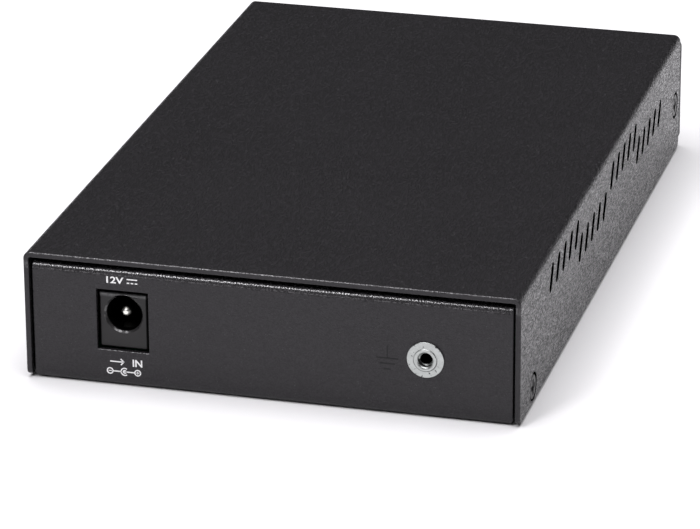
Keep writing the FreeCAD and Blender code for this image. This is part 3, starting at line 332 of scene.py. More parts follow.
def calm_faces(tree):
    """1 on the flat of the rear panel and on the cover's rim, where the coat lies smoother."""
    rear = tree.along("Y")
    panel = tree.above(rear, PANEL_Y - 0.2 * MM, 0.1 * MM)
    panel = panel * tree.below(tree.along("Z"), PANEL_TOP - CALM_DROP, 0.2 * MM)
    return panel | tree.above(rear, cad_high.y - 0.03 * MM, 0.07 * MM)


def powder_coat(name, paint, colour):
    """Fine-textured powder coat: a sandy skin with pale specks, thin and bright on the bends."""
    tree = Tree(name)
    spread = tree.moved((0.0, 0.0, 0.0), stretch=GRAIN_FORM)
    grain = tree.between(tree.noise(paint.grain, place=spread), 0.36, 0.64)
    skin = tree.between(tree.noise(paint.grain * 2.5, detail=1.0, place=spread), 0.36, 0.64)
    side = tree.above(abs(tree.along("X")), SIDE_X - 0.05 * MM, 0.25 * MM)
    contrast = 1.4 - calm_faces(tree) * 0.85 + side * 0.5
    sand = (grain * 0.75 + skin * 0.25 - 0.5) * contrast + 0.5
    specks = tree.between(tree.cells(paint.grain * 2.6, place=spread), 0.2, 0.08)
    specks = specks * tree.between(tree.noise(1.7 * MM, detail=1.0), 0.5, 0.6)
    wear_and_painted_highlight = tree.between(tree.noise(24 * MM, detail=3.0), 0.35, 0.75)
    thin = rear_bends(tree) * tree.between(grain, 0.25, 0.95) * paint.bend_shine
    raised = side * tree.between(grain, 0.2, 0.95) * paint.side_shine
    tone = tree.blend(sand, scaled(colour, 0.1), scaled(colour, 1.95))
    tone = tree.blend(specks * 0.6, tone, paint.speck_colour)
    return tree.finish(
        Base_Color=tone,
        Roughness=paint.roughness + 0.12 + wear_and_painted_highlight * 0.03 - sand * 0.24 + side * 0.04,
        Specular_IOR_Level=paint.gloss, Coat_Weight=thin | raised,
        Coat_Roughness=0.18, Coat_IOR=GLINT_IOR, Specular_Tint=COAT_TINT,
        # painted shade: the walls of the vents and the rings round the screws' heads are painted
        # black
        Normal=tree.bump(sand + specks * 0.3, paint.depth), painted_shade=unlit_openings(tree))


def moulded_plastic(name, colour, roughness, grain=0.25 * MM, depth=0.006 * MM):
    """Plastic with the fine sparked skin of its mould and faint flow marks."""
    tree = Tree(name)
    flow = tree.noise(6 * MM, distortion=0.8)
    tone = tree.blend(flow, scaled(colour, 0.85), scaled(colour, 1.2))
    return tree.finish(
        Base_Color=tone,
        Roughness=tree.between(flow, 0.3, 0.7, roughness - 0.05, roughness + 0.06),
        Normal=tree.bump(tree.noise(grain), depth))


def inlet_plastic(colour):
    """Black moulding of the power inlet: its top edge painted lighter as a highlight, its right
    edge and its bore painted black as shade.
    """
    tree = Tree("inlet_plastic")
    flow = tree.between(tree.noise(3 * MM, distortion=0.8), 0.3, 0.7)
    reach = tree.reach(tree.moved(INLET), "X", "Z")
    depth = tree.along("Y")
    bore = tree.below(reach, INLET_BORE + 0.02 * MM, 0.08 * MM)
    bore = bore * tree.below(depth, INLET_FACE - BORE_DEPTH, 0.55 * MM)
    rim = tree.below(reach, INLET_BORE + 0.3 * MM, 0.1 * MM)
    brow = tree.above(tree.along("Z"), INLET_TOP - BROW_DROP, 0.4 * MM)
    brow = brow * tree.above(depth, INLET_FACE - BROW_REACH, 0.1 * MM)
    # painted highlight: the top edge of the inlet's face is blended towards a lighter grey
    wear_and_painted_highlight = brow * tree.between(tree.noise(0.35 * MM), 0.35, 0.65, 0.55, 1.0)
    right = tree.below(tree.along("X"), INLET_RIGHT + DARK_STRIP, 0.1 * MM)
    tone = tree.blend(flow, scaled(colour, 0.8), scaled(colour, 1.25))
    return tree.finish(
        Base_Color=tree.blend(wear_and_painted_highlight, tone, (0.15, 0.15, 0.152)), Roughness=0.4 + flow * 0.08,
        Specular_IOR_Level=0.36,
        Coat_Weight=rim * tree.between(tree.noise(0.5 * MM, detail=1.0), 0.45, 0.6),
        Coat_Roughness=0.12, Coat_IOR=GLINT_IOR,
        Normal=tree.bump(tree.noise(0.22 * MM), 0.008 * MM),
        # painted shade: the deep bore and a strip along the right of the face are painted black
        painted_shade=bore | right * 0.9)


def plated_metal(name, colour, roughness, cloud=1.6 * MM):
    """Plated metal with a cloudy crystal bloom and a fine tooled grain."""
    tree = Tree(name)
    bloom = tree.noise(cloud, detail=3.0, distortion=0.5)
    fine = tree.noise(0.12 * MM)
    tone = tree.blend(tree.between(bloom, 0.3, 0.7), scaled(colour, 0.8), colour)
    return tree.finish(
        Base_Color=tone, Metallic=1.0,
        Roughness=tree.between(bloom, 0.3, 0.7, roughness + 0.08, roughness - 0.04) + fine * 0.04,
        Normal=tree.bump(fine, 0.003 * MM))


def pin_plating(colour):
    """Plating of the inlet's pin, lighter than the other nickel as a painted highlight on its tip;
    its shaft painted black as shade in the bore.
    """
    tree = Tree("pin_plating")
    fine = tree.noise(0.12 * MM)
    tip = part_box("dc_jack_pin")[1].y
    return tree.finish(
        Base_Color=tree.blend(fine, scaled(colour, 0.9), colour), Metallic=1.0,
        Roughness=0.36 + fine * 0.05, Normal=tree.bump(fine, 0.003 * MM),
        painted_shade=tree.between(tree.along("Y"), tip - 0.12 * MM, tip - 0.45 * MM, 0.0, 0.97))


def black_screw(colour):
    """Black plating, its head's rim painted black as shadow."""
    tree = Tree("black_screw")
    fine = tree.noise(0.3 * MM)
    tone = tree.blend(tree.between(fine, 0.35, 0.65), scaled(colour, 0.6), colour)
    return tree.finish(
        Base_Color=tone, Roughness=0.36 + fine * 0.1, Specular_IOR_Level=0.7,
        Normal=tree.bump(fine, 0.03 * MM),
        painted_shade=tree.above(head_reach(tree), SCREW_HEAD - 0.12 * MM, 0.08 * MM))


def terminal_nicks(tree, spot, reach):
    """Dark nicks round the flange, where the punch and the screw's washer have bitten."""
    turn = tree.apart(spot, "Z").math("ARCTAN2", tree.apart(spot, "X"))
    parts = {"X": turn * (3.4 * MM), "Y": reach * 0.5, "Z": 0.0}
    polar = tree.node("ShaderNodeCombineXYZ", None, parts)
    nicks = tree.between(tree.noise(0.7 * MM, detail=3.0, place=polar), 0.4, 0.35)
    return nicks * tree.above(reach, 2.4 * MM, 0.2 * MM)


def terminal_zinc(metal):
    """Bright zinc with dark nicks, painted shade in the corner round its collar, and painted black
    as shade deep in its bore.
    """
    tree = Tree("terminal_plating")
    spot = tree.moved(TERMINAL)
    reach = tree.reach(spot, "X", "Z")
    nicks = terminal_nicks(tree, spot, reach)
    corner = tree.below(abs(reach - TERMINAL_STEP), 0.05 * MM, 0.08 * MM)
    corner = corner * tree.between(tree.apart(spot, "Z"), 0.9 * MM, -0.6 * MM, 0.15, 1.0)
    deep = tree.below(tree.along("Y"), PANEL_Y - metal.terminal_bright - 0.35 * MM, 0.35 * MM)
    bloom = tree.between(tree.noise(0.7 * MM, detail=3.0), 0.3, 0.7)
    fine = tree.noise(0.07 * MM, detail=1.0)
    tone = tree.blend(bloom, scaled(metal.zinc_colour, 0.86), metal.zinc_colour)
    # painted shade: the corner round the collar is darkened, strongest low down; the nicks are real
    # marks
    tone = tree.blend(nicks | corner * 0.8, tone, (0.07, 0.07, 0.072))
    return tree.finish(
        Base_Color=tone, Metallic=1.0, Roughness=metal.zinc_roughness + nicks * 0.2 + fine * 0.05,
        Normal=tree.bump(fine + nicks * -1.5, 0.006 * MM),
        # painted shade: the bore is painted black below the depth that catches light
        painted_shade=deep * tree.below(reach, 1.7 * MM, 0.1 * MM))


def board_laminate(colour):
    """Green solder mask over a maze of copper tracks."""
    tree = Tree("board_laminate")
    tracks = tree.cells(3.1 * MM, randomness=0.35, feature="DISTANCE_TO_EDGE")
    lines = tree.between(tracks, 0.07, 0.05)
    pads = tree.between(tree.cells(5.3 * MM, randomness=0.7), 0.13, 0.1)
    threads = {"Vector": tree.place, "Scale": 900.0, "Distortion": 1.5}
    weave = tree.node("ShaderNodeTexWave", None, threads)
    tone = tree.blend(lines, colour, scaled(colour, 2.1))
    tone = tree.blend(pads, tone, (0.55, 0.53, 0.46))
    return tree.finish(
        Base_Color=tone, Roughness=tree.between(pads, 0.0, 1.0, 0.28, 0.45), Metallic=pads,
        Normal=tree.bump(lines + weave * 0.1, 0.03 * MM))


def printed_ink(name, colour, gloss=0.5):
    """Screen-printed ink with an uneven coat."""
    tree = Tree(name)
    coat = tree.noise(0.3 * MM)
    tone = tree.blend(tree.between(coat, 0.3, 0.6), scaled(colour, 0.82), colour)
    return tree.finish(Base_Color=tone, Roughness=0.5 + coat * 0.1, Specular_IOR_Level=gloss,
                       Normal=tree.bump(coat, 0.01 * MM))


def lamp_lens(colour):
    """Tinted plastic of a lamp, with painted shade darkening it towards its rim where its surface
    turns from the view.
    """
    tree = Tree("lamp_lens")
    haze = tree.noise(0.8 * MM)
    rim = tree.node("ShaderNodeLayerWeight", None, {"Blend": 0.35}, output="Facing")
    # painted shade: the colour darkens where the lens turns away from the view
    tone = tree.blend(rim, colour, scaled(colour, 0.35))
    return tree.finish(
        Base_Color=tone, Roughness=tree.between(haze, 0.3, 0.7, 0.1, 0.2), Coat_Weight=0.6,
        Normal=tree.bump(haze, 0.004 * MM))


# ---- meshes ----
def new_object(name, data):
    """An object at the origin, in the scene."""
    thing = bpy.data.objects.new(name, data)
    bpy.context.scene.collection.objects.link(thing)
    return thing


def add_piece(name, bm, material):
    """An object from a bmesh that rides on the part's one body."""
    mesh = bpy.data.meshes.new(name)
    bm.to_mesh(mesh)
    bm.free()
    mesh.materials.append(material)
    mesh.shade_smooth()
    mesh.set_sharp_from_angle(angle=SHARP_TURN)
    piece = new_object(name, mesh)
    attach(piece, BODY)
    return piece


def round_edges(piece, width, segments):
    """A live bevel on a piece's weighted edges."""
    rounding = piece.modifiers.new("rounded_edges", "BEVEL")
    rounding.width = width
    rounding.segments = segments
    rounding.limit_method = "WEIGHT"
    rounding.use_clamp_overlap = False
    rounding.loop_slide = False
    rounding.harden_normals = True
    return piece


def weigh_edges(bm, widest, width_at):
    """Weights for the bevel: sharp edges get the width that width_at gives for their middle."""
    weights = bm.edges.layers.float.new("bevel_weight_edge")
    for edge in bm.edges:
        if edge.is_manifold and edge.calc_face_angle() > SHARP_TURN:
            spot = (edge.verts[0].co + edge.verts[1].co) / 2.0
            edge[weights] = width_at(spot) / widest


def openings_apart(node, edge, opening):
    """Widths: their own for openings, whose edges lie well inside the box along two axes."""
    low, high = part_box(node)

    def width_at(spot):
        inside = sum(low[i] + RIM < spot[i] < high[i] - RIM for i in range(3))
        return opening if inside > 1 else edge

    return width_at


def tray_edges(paint):
    """Widths: the coat's on the rear panel, fine elsewhere, none in its foot's reliefs."""
    apart = openings_apart("base_tray", paint.edge, paint.opening_edge)
    low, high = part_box("base_tray")

    def width_at(spot):
        rear_corner = abs(spot.x) > high.x - RELIEF and spot.y > PANEL_Y - 2.0 * RIM
        if rear_corner and spot.z < low.z + RELIEF:
            return 0.0
        return apart(spot) if spot.y > PANEL_Y - RIM else FINE_EDGE

    return width_at


def bezel_edges(edge):
    """Widths: none at the top corners of the bezel's back."""
    low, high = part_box("front_bezel")

    def width_at(spot):
        corner = abs(spot.x) > high.x - RELIEF and spot.z > high.z - RELIEF
        return 0.0 if corner and spot.y > low.y + RELIEF / 2.0 else edge

    return width_at


def head_rims(edge):
    """Widths: wide on the rims of the side screws' heads, fine in their crosses."""
    def width_at(spot):
        reach = min(math.hypot(spot.y - y, spot.z - z) for y, z in HEADS)
        return edge if reach > SCREW_HEAD * 0.8 else FINE_EDGE

    return width_at


def terminal_rims(metal):
    """Widths: wide at the mouth of the bore, fine elsewhere."""
    def width_at(spot):
        reach = math.hypot(spot.x - TERMINAL.x, spot.z - TERMINAL.z)
        mouth = spot.y > PANEL_Y and reach < TERMINAL_MOUTH
        return metal.terminal_mouth if mouth else metal.terminal_edge

    return width_at


def inlet_brow(brow):
    """Widths: wide along the top of the inlet's face, fine round its bore and behind."""
    def width_at(spot):
        reach = math.hypot(spot.x - INLET.x, spot.z - INLET.z)
        if spot.y < INLET_FACE - WELD:
            return FINE_EDGE
        if spot.z > INLET_TOP - WELD:
            return brow
        return INLET_CORNER if reach > INLET_BORE + 0.5 * MM else FINE_EDGE

    return width_at


def rounded(node, name, material, edge=None, segments=2, width_at=None):
    """A copy of a node with its sharp edges rounded off, which is shown in its place."""
    edge = edge or EDGES_MM[node] * MM
    bm = bmesh.new()
    bm.from_mesh(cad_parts[node].data)
    for layer in list(bm.loops.layers.float_vector):
        bm.loops.layers.float_vector.remove(layer)
    bmesh.ops.remove_doubles(bm, verts=bm.verts, dist=WELD)
    bmesh.ops.dissolve_limit(bm, angle_limit=FLAT_TURN, use_dissolve_boundaries=False,
                             verts=bm.verts, edges=bm.edges, delimit={"NORMAL"})
    weigh_edges(bm, edge, width_at or (lambda spot: edge))
    piece = add_piece(name, bm, material)
    if "custom_normal" in piece.data.attributes:
        piece.data.attributes.remove(piece.data.attributes["custom_normal"])
    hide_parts(node)
    return round_edges(piece, edge, segments)


# ---- print on the rear panel ----
class Pen:
    """Prints on the rear panel, at places given as (x, z)."""

    def __init__(self, marks):
        self.bm = bmesh.new()
        self.thick = marks.thick
        self.width = marks.stroke

    def at(self, place, share_out=0.5):
        """A point over a place, a share of the print's thickness out of the panel."""
        return Vector((place[0], PANEL_Y + self.thick * share_out, place[1]))

    def stroke(self, start, end, broad=1.0):
        """A straight stroke with square ends, broad times the pen's width."""
        first, last = self.at(start), self.at(end)
        run = last - first
        size = Matrix.Diagonal((run.length, self.thick, self.width * broad, 1.0))
        turn = Matrix.Rotation(-math.atan2(run.z, run.x), 4, "Y")
        place = Matrix.Translation((first + last) / 2.0)
        bmesh.ops.create_cube(self.bm, size=1.0, matrix=place @ turn @ size)

    def arc(self, centre, radius, start=0.0, sweep=360.0, steps=32):
        """A ring or part of one, its degrees counted from the reader's right upwards."""
        first = math.radians(start)
        aim = LEFTWARD * math.cos(first) + UP * math.sin(first)
        middle_at = self.at(centre, 0.0)
        inner = middle_at + aim * (radius - self.width / 2.0)
        outer = middle_at + aim * (radius + self.width / 2.0)
        lift = REARWARD * self.thick
        corners = [self.bm.verts.new(spot) for spot in (inner, outer, outer + lift, inner + lift)]
        face = self.bm.faces.new(corners)
        geometry = [face, *face.edges, *face.verts]
        whole = sweep == 360.0
        if whole:
            geometry.remove(face)
            self.bm.faces.remove(face)
        bmesh.ops.spin(self.bm, geom=geometry, cent=middle_at, axis=REARWARD, dvec=(0.0, 0.0, 0.0),
                       angle=math.radians(sweep), steps=steps, use_merge=whole,
                       use_duplicate=False)

    def dot(self, centre, radius):
        """A round dot."""
        place = Matrix.Translation(self.at(centre)) @ Matrix.Rotation(math.radians(90), 4, "X")
        bmesh.ops.create_cone(self.bm, cap_ends=True, segments=24, radius1=radius,
                              radius2=radius, depth=self.thick, matrix=place)

    def words(self, words, span, z, height):
        """Lettering fitted to a span and a height."""
        x, width = span
        curve = bpy.data.curves.new("lettering", "FONT")
        curve.body = words
        curve.extrude = 0.5
        curve.offset = 0.025
        curve.resolution_u = 3
        holder = new_object("lettering", curve)
        bpy.context.view_layer.update()
        view = bpy.context.evaluated_depsgraph_get()
        mesh = bpy.data.meshes.new_from_object(holder.evaluated_get(view))
        bpy.data.objects.remove(holder)
        bpy.data.curves.remove(curve)
        low = Vector([min(v.co[i] for v in mesh.vertices) for i in range(3)])
        high = Vector([max(v.co[i] for v in mesh.vertices) for i in range(3)])
        size = high - low
        fit = Matrix.Diagonal((width / size.x, height / size.y, self.thick / size.z, 1.0))
        centred = Matrix.Translation(-(low + high) / 2.0)
        facing = Matrix((LEFTWARD, UP, REARWARD)).transposed().to_4x4()
        mesh.transform(Matrix.Translation(self.at((x, z))) @ facing @ fit @ centred)
        self.bm.from_mesh(mesh)
        bpy.data.meshes.remove(mesh)


def direct_current(pen, span, z):
    """Sign for direct current: a line over three dashes."""
    x, width = span
    half = width / 2.0
    rise = width * 0.18
    dash = width * 0.12
    pen.stroke((x + half, z + rise), (x - half, z + rise))
    for side in (-1, 0, 1):
        at = x + side * (half - dash)
        pen.stroke((at + dash, z - rise), (at - dash, z - rise))


def arrow(pen, span, z, height):
    """Arrow that points the way the print reads."""
    x, width = span
    tip = x - width / 2.0
    barb = height * 0.42
    pen.stroke((x + width / 2.0, z), (tip, z))
    for side in (-1, 1):
        pen.stroke((tip + barb, z + side * barb), (tip, z))


def polarity(pen, marks):
    """Sign for the plug's polarity: minus outside, plus on the pin."""
    z = INLET.z - marks.polarity_drop
    half = marks.polarity_width / 2.0
    ring = marks.polarity_ring / 2.0
    sleeve = marks.polarity_sleeve / 2.0
    sign = ring * 0.45
    left = INLET.x + half - ring
    right = INLET.x - half + ring
    centre = (left + right) / 2.0 - 0.15 * MM
    for x in (left, right):
        pen.arc((x, z), ring - pen.width / 2.0)
        pen.stroke((x + sign, z), (x - sign, z), 0.7)
    pen.stroke((right, z - sign), (right, z + sign), 0.7)
    pen.arc((centre, z), sleeve - pen.width / 2.0, start=52.0, sweep=256.0, steps=24)
    pen.dot((centre, z), sleeve * 0.46)
    pen.stroke((left - ring, z), (centre + sleeve - pen.width, z))
    pen.stroke((centre, z), (right + ring, z))


def inlet_words(pen, marks):
    """Voltage above the inlet, and an arrow with the word for input below it."""
    z = INLET.z + marks.volts_rise
    pen.words("12V", VOLTS_WORD, z, marks.volts_height)
    direct_current(pen, VOLTS_SIGN, z)
    z = INLET.z - marks.input_drop
    arrow(pen, INPUT_ARROW, z, marks.input_height)
    pen.words("IN", INPUT_WORD, z, marks.input_height)


def earth(pen, marks):
    """Sign for earth: a stem over three bars."""
    x = TERMINAL.x + marks.earth_beside
    z = TERMINAL.z - EARTH_DROP
    top, foot = EARTH_STEM
    pen.stroke((x, z + top), (x, z + foot))
    for drop, width in EARTH_BARS_MM:
        half = width / 2.0 * MM
        level = z - drop * MM
        pen.stroke((x + half, level), (x - half, level), 1.2)


# ---- settings ----
def number(name, description, default, **kind):
    """A number; kind gives its limits, unit or subtype."""
    return bpy.props.FloatProperty(name=name, description=description, default=default, **kind)


def share(name, description, default):
    """A share of one."""
    return number(name, description, default, min=0.0, max=1.0)


def length(name, description, millimetres):
    """A length, its default in millimetres."""
    default = millimetres * MM
    return number(name, description, default, min=0.0, precision=6, unit="LENGTH")


def angle(name, description, degrees):
    """An angle, its default in degrees."""
    return number(name, description, math.radians(degrees), subtype="ANGLE")


def tint(name, description, default):
    """A colour of three parts."""
    return bpy.props.FloatVectorProperty(name=name, description=description, default=default,
                                         size=3, subtype="COLOR", min=0.0, max=1.0)


class PaintSettings(bpy.types.PropertyGroup):
    case_colour: tint("Case", "Powder coat of the cover and the tray", (0.0105, 0.01, 0.011))
    bezel_colour: tint("Bezel", "Moulded front bezel", (0.012, 0.012, 0.013))
    speck_colour: tint("Specks", "Pale grains in the powder coat", (0.06, 0.06, 0.062))
    roughness: share("Roughness", "Roughness of the powder coat", 0.34)
    gloss: share("Gloss", "Strength of the powder coat's shine", 0.42)
    bend_shine: share("Bend shine", "Shine of the thin coat on the rear bends", 0.85)
    side_shine: share("Side shine", "Shine of the raised grains on the sides", 0.28)
    grain: length("Grain", "Size of the powder coat's grain", 0.26)
    depth: length("Depth", "Depth of the powder coat's texture", 0.05)
    edge: length("Edge", "Rounding of the sheet's edges", 0.24)
    vent_edge: length("Vent edge", "Rounding round the vents", 0.38)
    opening_edge: length("Opening edge", "Rounding of the rear panel's openings", 0.14)


class MetalSettings(bpy.types.PropertyGroup):
    zinc_colour: tint("Zinc", "Plating of the ground terminal", (0.5, 0.52, 0.51))
    zinc_roughness: share("Zinc roughness", "Roughness of the plating", 0.36)
    head_edge: length("Screw heads", "Rounding of the side screws' rims", 0.3)
    screw_colour: tint("Side screws", "Black of the side screws", (0.014, 0.0135, 0.0145))
    # lighter than the other nickel: a painted highlight on the pin's tip
    pin_highlight_colour: tint("Inlet pin", "Bright plating of the inlet's pin", (0.95, 0.94, 0.88))
    nickel_colour: tint("Nickel", "Plating of contacts, pins and tabs", (0.66, 0.65, 0.62))
    gold_colour: tint("Gold", "Plating of the copper port's contacts", (0.83, 0.6, 0.24))
    thread_pitch: length("Thread", "Pitch of the ground terminal's thread", 0.5)
    thread_depth: length("Thread depth", "Depth of that thread", 0.22)
    terminal_edge: length("Terminal edge", "Rounding of the terminal's rims", 0.1)
    terminal_mouth: length("Terminal mouth", "Rounding of the bore's mouth", 0.24)
    # the terminal's bore is painted black as shade below this depth
    terminal_bright: length("Terminal depth", "Depth of bore that catches light", 0.3)


class PlasticSettings(bpy.types.PropertyGroup):
    inlet_colour: tint("Inlet", "Moulding of the power inlet", (0.013, 0.0122, 0.0128))
    inlet_brow: length("Inlet edge", "Rounding along the top of the inlet's face", 0.6)
    port_colour: tint("Copper port", "Moulding of the copper port", (0.02, 0.02, 0.021))
    fibre_colour: tint("Fibre port", "Moulding of the fibre port", (0.022, 0.022, 0.024))
    latch_colour: tint("Latches", "Inserts of the fibre port", (0.09, 0.09, 0.095))
    lamp_colour: tint("Lamps", "Tinted lamps of the front", (0.2, 0.42, 0.2))
    board_colour: tint("Board", "Solder mask of the circuit board", (0.012, 0.1, 0.045))
    sleeve_colour: tint("Sleeves", "Ceramic sleeves of the fibre port", (0.82, 0.81, 0.76))
    chip_colour: tint("Chips", "Moulding of the chips", (0.022, 0.022, 0.024))
    ferrite_colour: tint("Inductor", "Ferrite of the power inductor", (0.05, 0.048, 0.046))
    film_colour: tint("Capacitors", "Sleeves of the filter capacitors", (0.015, 0.02, 0.07))


class MarkSettings(bpy.types.PropertyGroup):
    ink: tint("Ink", "White print on the rear panel", (0.9, 0.9, 0.9))
    faint_ink: tint("Faint ink", "Dark print of the earth sign", (0.009, 0.009, 0.01))
    thick: length("Thickness", "Thickness of the print", 0.02)
    stroke: length("Stroke", "Width of the signs' lines", 0.22)
    volts_height: length("Volts", "Height of the voltage above the inlet", 1.25)
    volts_rise: length("Volts rise", "Voltage above the inlet's middle", 6.6)
    input_height: length("Input", "Height of the input mark below the inlet", 1.35)
    input_drop: length("Input drop", "Input mark below the inlet's middle", 8.62)
    polarity_width: length("Polarity", "Width of the polarity sign", 6.25)
    polarity_drop: length("Polarity drop", "Polarity sign below the inlet's middle", 10.42)
    polarity_ring: length("Polarity rings", "Diameter of its end rings", 1.25)
    polarity_sleeve: length("Polarity sleeve", "Diameter of its open middle ring", 1.55)
    earth_beside: length("Earth", "Earth sign beside the terminal", 6.7)


class StageSettings(bpy.types.PropertyGroup):
    floor_colour: tint("Floor", "Pale floor", (0.8, 0.8, 0.8))
    floor_size: length("Floor size", "Side of the floor", 9000.0)
    light_colour: tint("Light", "Colour of the softboxes", (0.985, 0.97, 1.0))
    box_size: length("Softbox", "Side of the overhead softbox", 2200.0)
    box_height: length("Softbox height", "Height of the softbox", 1700.0)
    box_power: number("Softbox power", "Power of the softbox", 59.5, min=0.0, unit="POWER")
    key_width: length("Key width", "Width of the softbox behind the object", 300.0)
    key_tall: length("Key height", "Height of that softbox", 450.0)
    key_distance: length("Key distance", "From the object to that softbox", 1500.0)
    key_power: number("Key power", "Power of that softbox", 7.5, min=0.0, unit="POWER")
    key_height: angle("Key rise", "Its angle above the floor", 45.0)
    key_way: angle("Key way", "Its angle from the rear to the right side", 23.0)
    sky: share("Room", "Brightness of the dim room", 0.04)
    azimuth: angle("Azimuth", "Camera's way round the object", 195.208)
    elevation: angle("Elevation", "Camera's angle above the floor", 22.111)
    roll: angle("Roll", "Tilt of the camera about its own axis", -0.377)
    distance: length("Distance", "From the camera to the point it looks at", 797.0)
    aim: bpy.props.FloatVectorProperty(name="Aim", description="Point that the camera looks at",
                                       default=(0.00312, 0.00627, -0.00008), subtype="TRANSLATION")
    lens: number("Lens", "Focal length", 221.33, min=10.0, unit="CAMERA")


# ---- operators ----
class Maker:
    """What the operators share: each one makes its group of pieces."""
    bl_options = {"REGISTER", "UNDO"}

    def execute(self, context):
        self.make(context.scene)
        return {"FINISHED"}


class CONVERTER_OT_case(Maker, bpy.types.Operator):
    """Cover and tray of folded sheet in textured black powder coat"""
    bl_idname = "converter.case"
    bl_label = "Painted case"

    def make(self, scene):
        paint = scene.converter_paint
        coat = powder_coat("case_paint", paint, paint.case_colour)
        rounded("top_cover", "painted_cover", coat, paint.edge,
                width_at=openings_apart("top_cover", paint.edge, paint.vent_edge))
        rounded("base_tray", "painted_tray", coat, paint.edge,
                width_at=tray_edges(paint))


class CONVERTER_OT_bezel(Maker, bpy.types.Operator):
    """Moulded front bezel"""
    bl_idname = "converter.bezel"
    bl_label = "Front bezel"

    def make(self, scene):
        colour = scene.converter_paint.bezel_colour
        skin = moulded_plastic("bezel_plastic", colour, 0.5, depth=0.012 * MM)
        rounded("front_bezel", "moulded_bezel", skin,
                width_at=bezel_edges(EDGES_MM["front_bezel"] * MM))


class CONVERTER_OT_screws(Maker, bpy.types.Operator):
    """Black screws in the sides, zinc screws and standoffs of the board"""
    bl_idname = "converter.screws"
    bl_label = "Screws and standoffs"

    def make(self, scene):
        metal = scene.converter_metal
        black = black_screw(metal.screw_colour)
        zinc = plated_metal("board_screw_zinc", metal.nickel_colour, 0.3)
        dull = plated_metal("standoff_zinc", scaled(metal.nickel_colour, 0.9), 0.42)
        rounded("side_screws", "black_side_screws", black, metal.head_edge,
                width_at=head_rims(metal.head_edge))
        rounded("board_screws", "zinc_board_screws", zinc)
        rounded("board_standoffs", "zinc_standoffs", dull)


def add_thread(bm, pitch, depth):
    """Thread in the terminal's bore: its profile spun and drawn along."""
    steps = 28                        # to a turn
    low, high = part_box("ground_terminal")
    middle_at = Vector((TERMINAL.x, low.y + pitch, TERMINAL.z))
    plain = 0.3 * MM                  # length of the bore left without thread
    turns = int((high.y - low.y - plain) / pitch) - 1
    root = TERMINAL_BORE + 0.01 * MM
    crest = TERMINAL_BORE - depth
    foot, tip = 0.48 * pitch, 0.08 * pitch
    corners = []
    for radius, rise in ((root, -foot), (crest, -tip), (crest, tip), (root, foot)):
        corners.append(bm.verts.new(middle_at + Vector((radius, rise, 0.0))))
    face = bm.faces.new(corners)
    bmesh.ops.spin(bm, geom=[face, *face.edges, *face.verts], cent=middle_at, axis=REARWARD,
                   dvec=(0.0, pitch / steps, 0.0), angle=math.tau * turns, steps=steps * turns,
                   use_merge=False, use_duplicate=False)
    bmesh.ops.recalc_face_normals(bm, faces=bm.faces)


class CONVERTER_OT_terminal(Maker, bpy.types.Operator):
    """Threaded bush riveted through the rear panel"""
    bl_idname = "converter.terminal"
    bl_label = "Ground terminal"

    def make(self, scene):
        metal = scene.converter_metal
        plating = terminal_zinc(metal)
        rounded("ground_terminal", "zinc_ground_terminal", plating,
                metal.terminal_mouth, segments=3, width_at=terminal_rims(metal))
        bm = bmesh.new()
        add_thread(bm, metal.thread_pitch, metal.thread_depth)
        add_piece("terminal_thread", bm, plating)


class CONVERTER_OT_inlet(Maker, bpy.types.Operator):
    """Power inlet with its pin, spring and solder tabs"""
    bl_idname = "converter.inlet"
    bl_label = "Power inlet"

    def make(self, scene):
        plastic = scene.converter_plastic
        metal = scene.converter_metal
        black = inlet_plastic(plastic.inlet_colour)
        nickel = plated_metal("contact_plating", metal.nickel_colour, 0.3)
        bright = pin_plating(metal.pin_highlight_colour)
        # painted shade: the spring's nickel is darkened to 7% because it lies deep in the bore
        shaded = plated_metal("shaded_spring_plating", scaled(metal.nickel_colour, 0.07), 0.25)
        rounded("dc_jack_housing", "moulded_inlet", black,
                plastic.inlet_brow, segments=3, width_at=inlet_brow(plastic.inlet_brow))
        rounded("dc_jack_pin", "inlet_pin", bright, segments=3)
        for node in ("dc_jack_rear_tab", "dc_jack_side_tab"):
            rounded(node, "plated_" + node, nickel)
        rounded("dc_jack_spring", "plated_inlet_spring", shaded)


class CONVERTER_OT_marks(Maker, bpy.types.Operator):
    """Printed signs on the rear panel"""
    bl_idname = "converter.marks"
    bl_label = "Rear marks"

    def make(self, scene):
        marks = scene.converter_marks
        white, dark = Pen(marks), Pen(marks)
        inlet_words(white, marks)
        polarity(white, marks)
        earth(dark, marks)
        add_piece("white_print", white.bm, printed_ink("white_print", marks.ink))
        add_piece("earth_sign", dark.bm, printed_ink("faint_print", marks.faint_ink, gloss=0.3))


class CONVERTER_OT_copper_port(Maker, bpy.types.Operator):
    """Shielded copper port with its sprung contacts"""
    bl_idname = "converter.copper_port"
    bl_label = "Copper port"

    def make(self, scene):
        plastic = moulded_plastic("port_plastic", scene.converter_plastic.port_colour, 0.4)
        metal = scene.converter_metal
        tin = plated_metal("tinned_shell", metal.nickel_colour, 0.26, cloud=3.0 * MM)
        gold = plated_metal("gold_contacts", metal.gold_colour, 0.14)
        rounded("rj45_housing", "moulded_copper_port", plastic)
        rounded("rj45_shield", "tinned_port_shell", tin)
        rounded("rj45_contacts", "gold_port_contacts", gold)


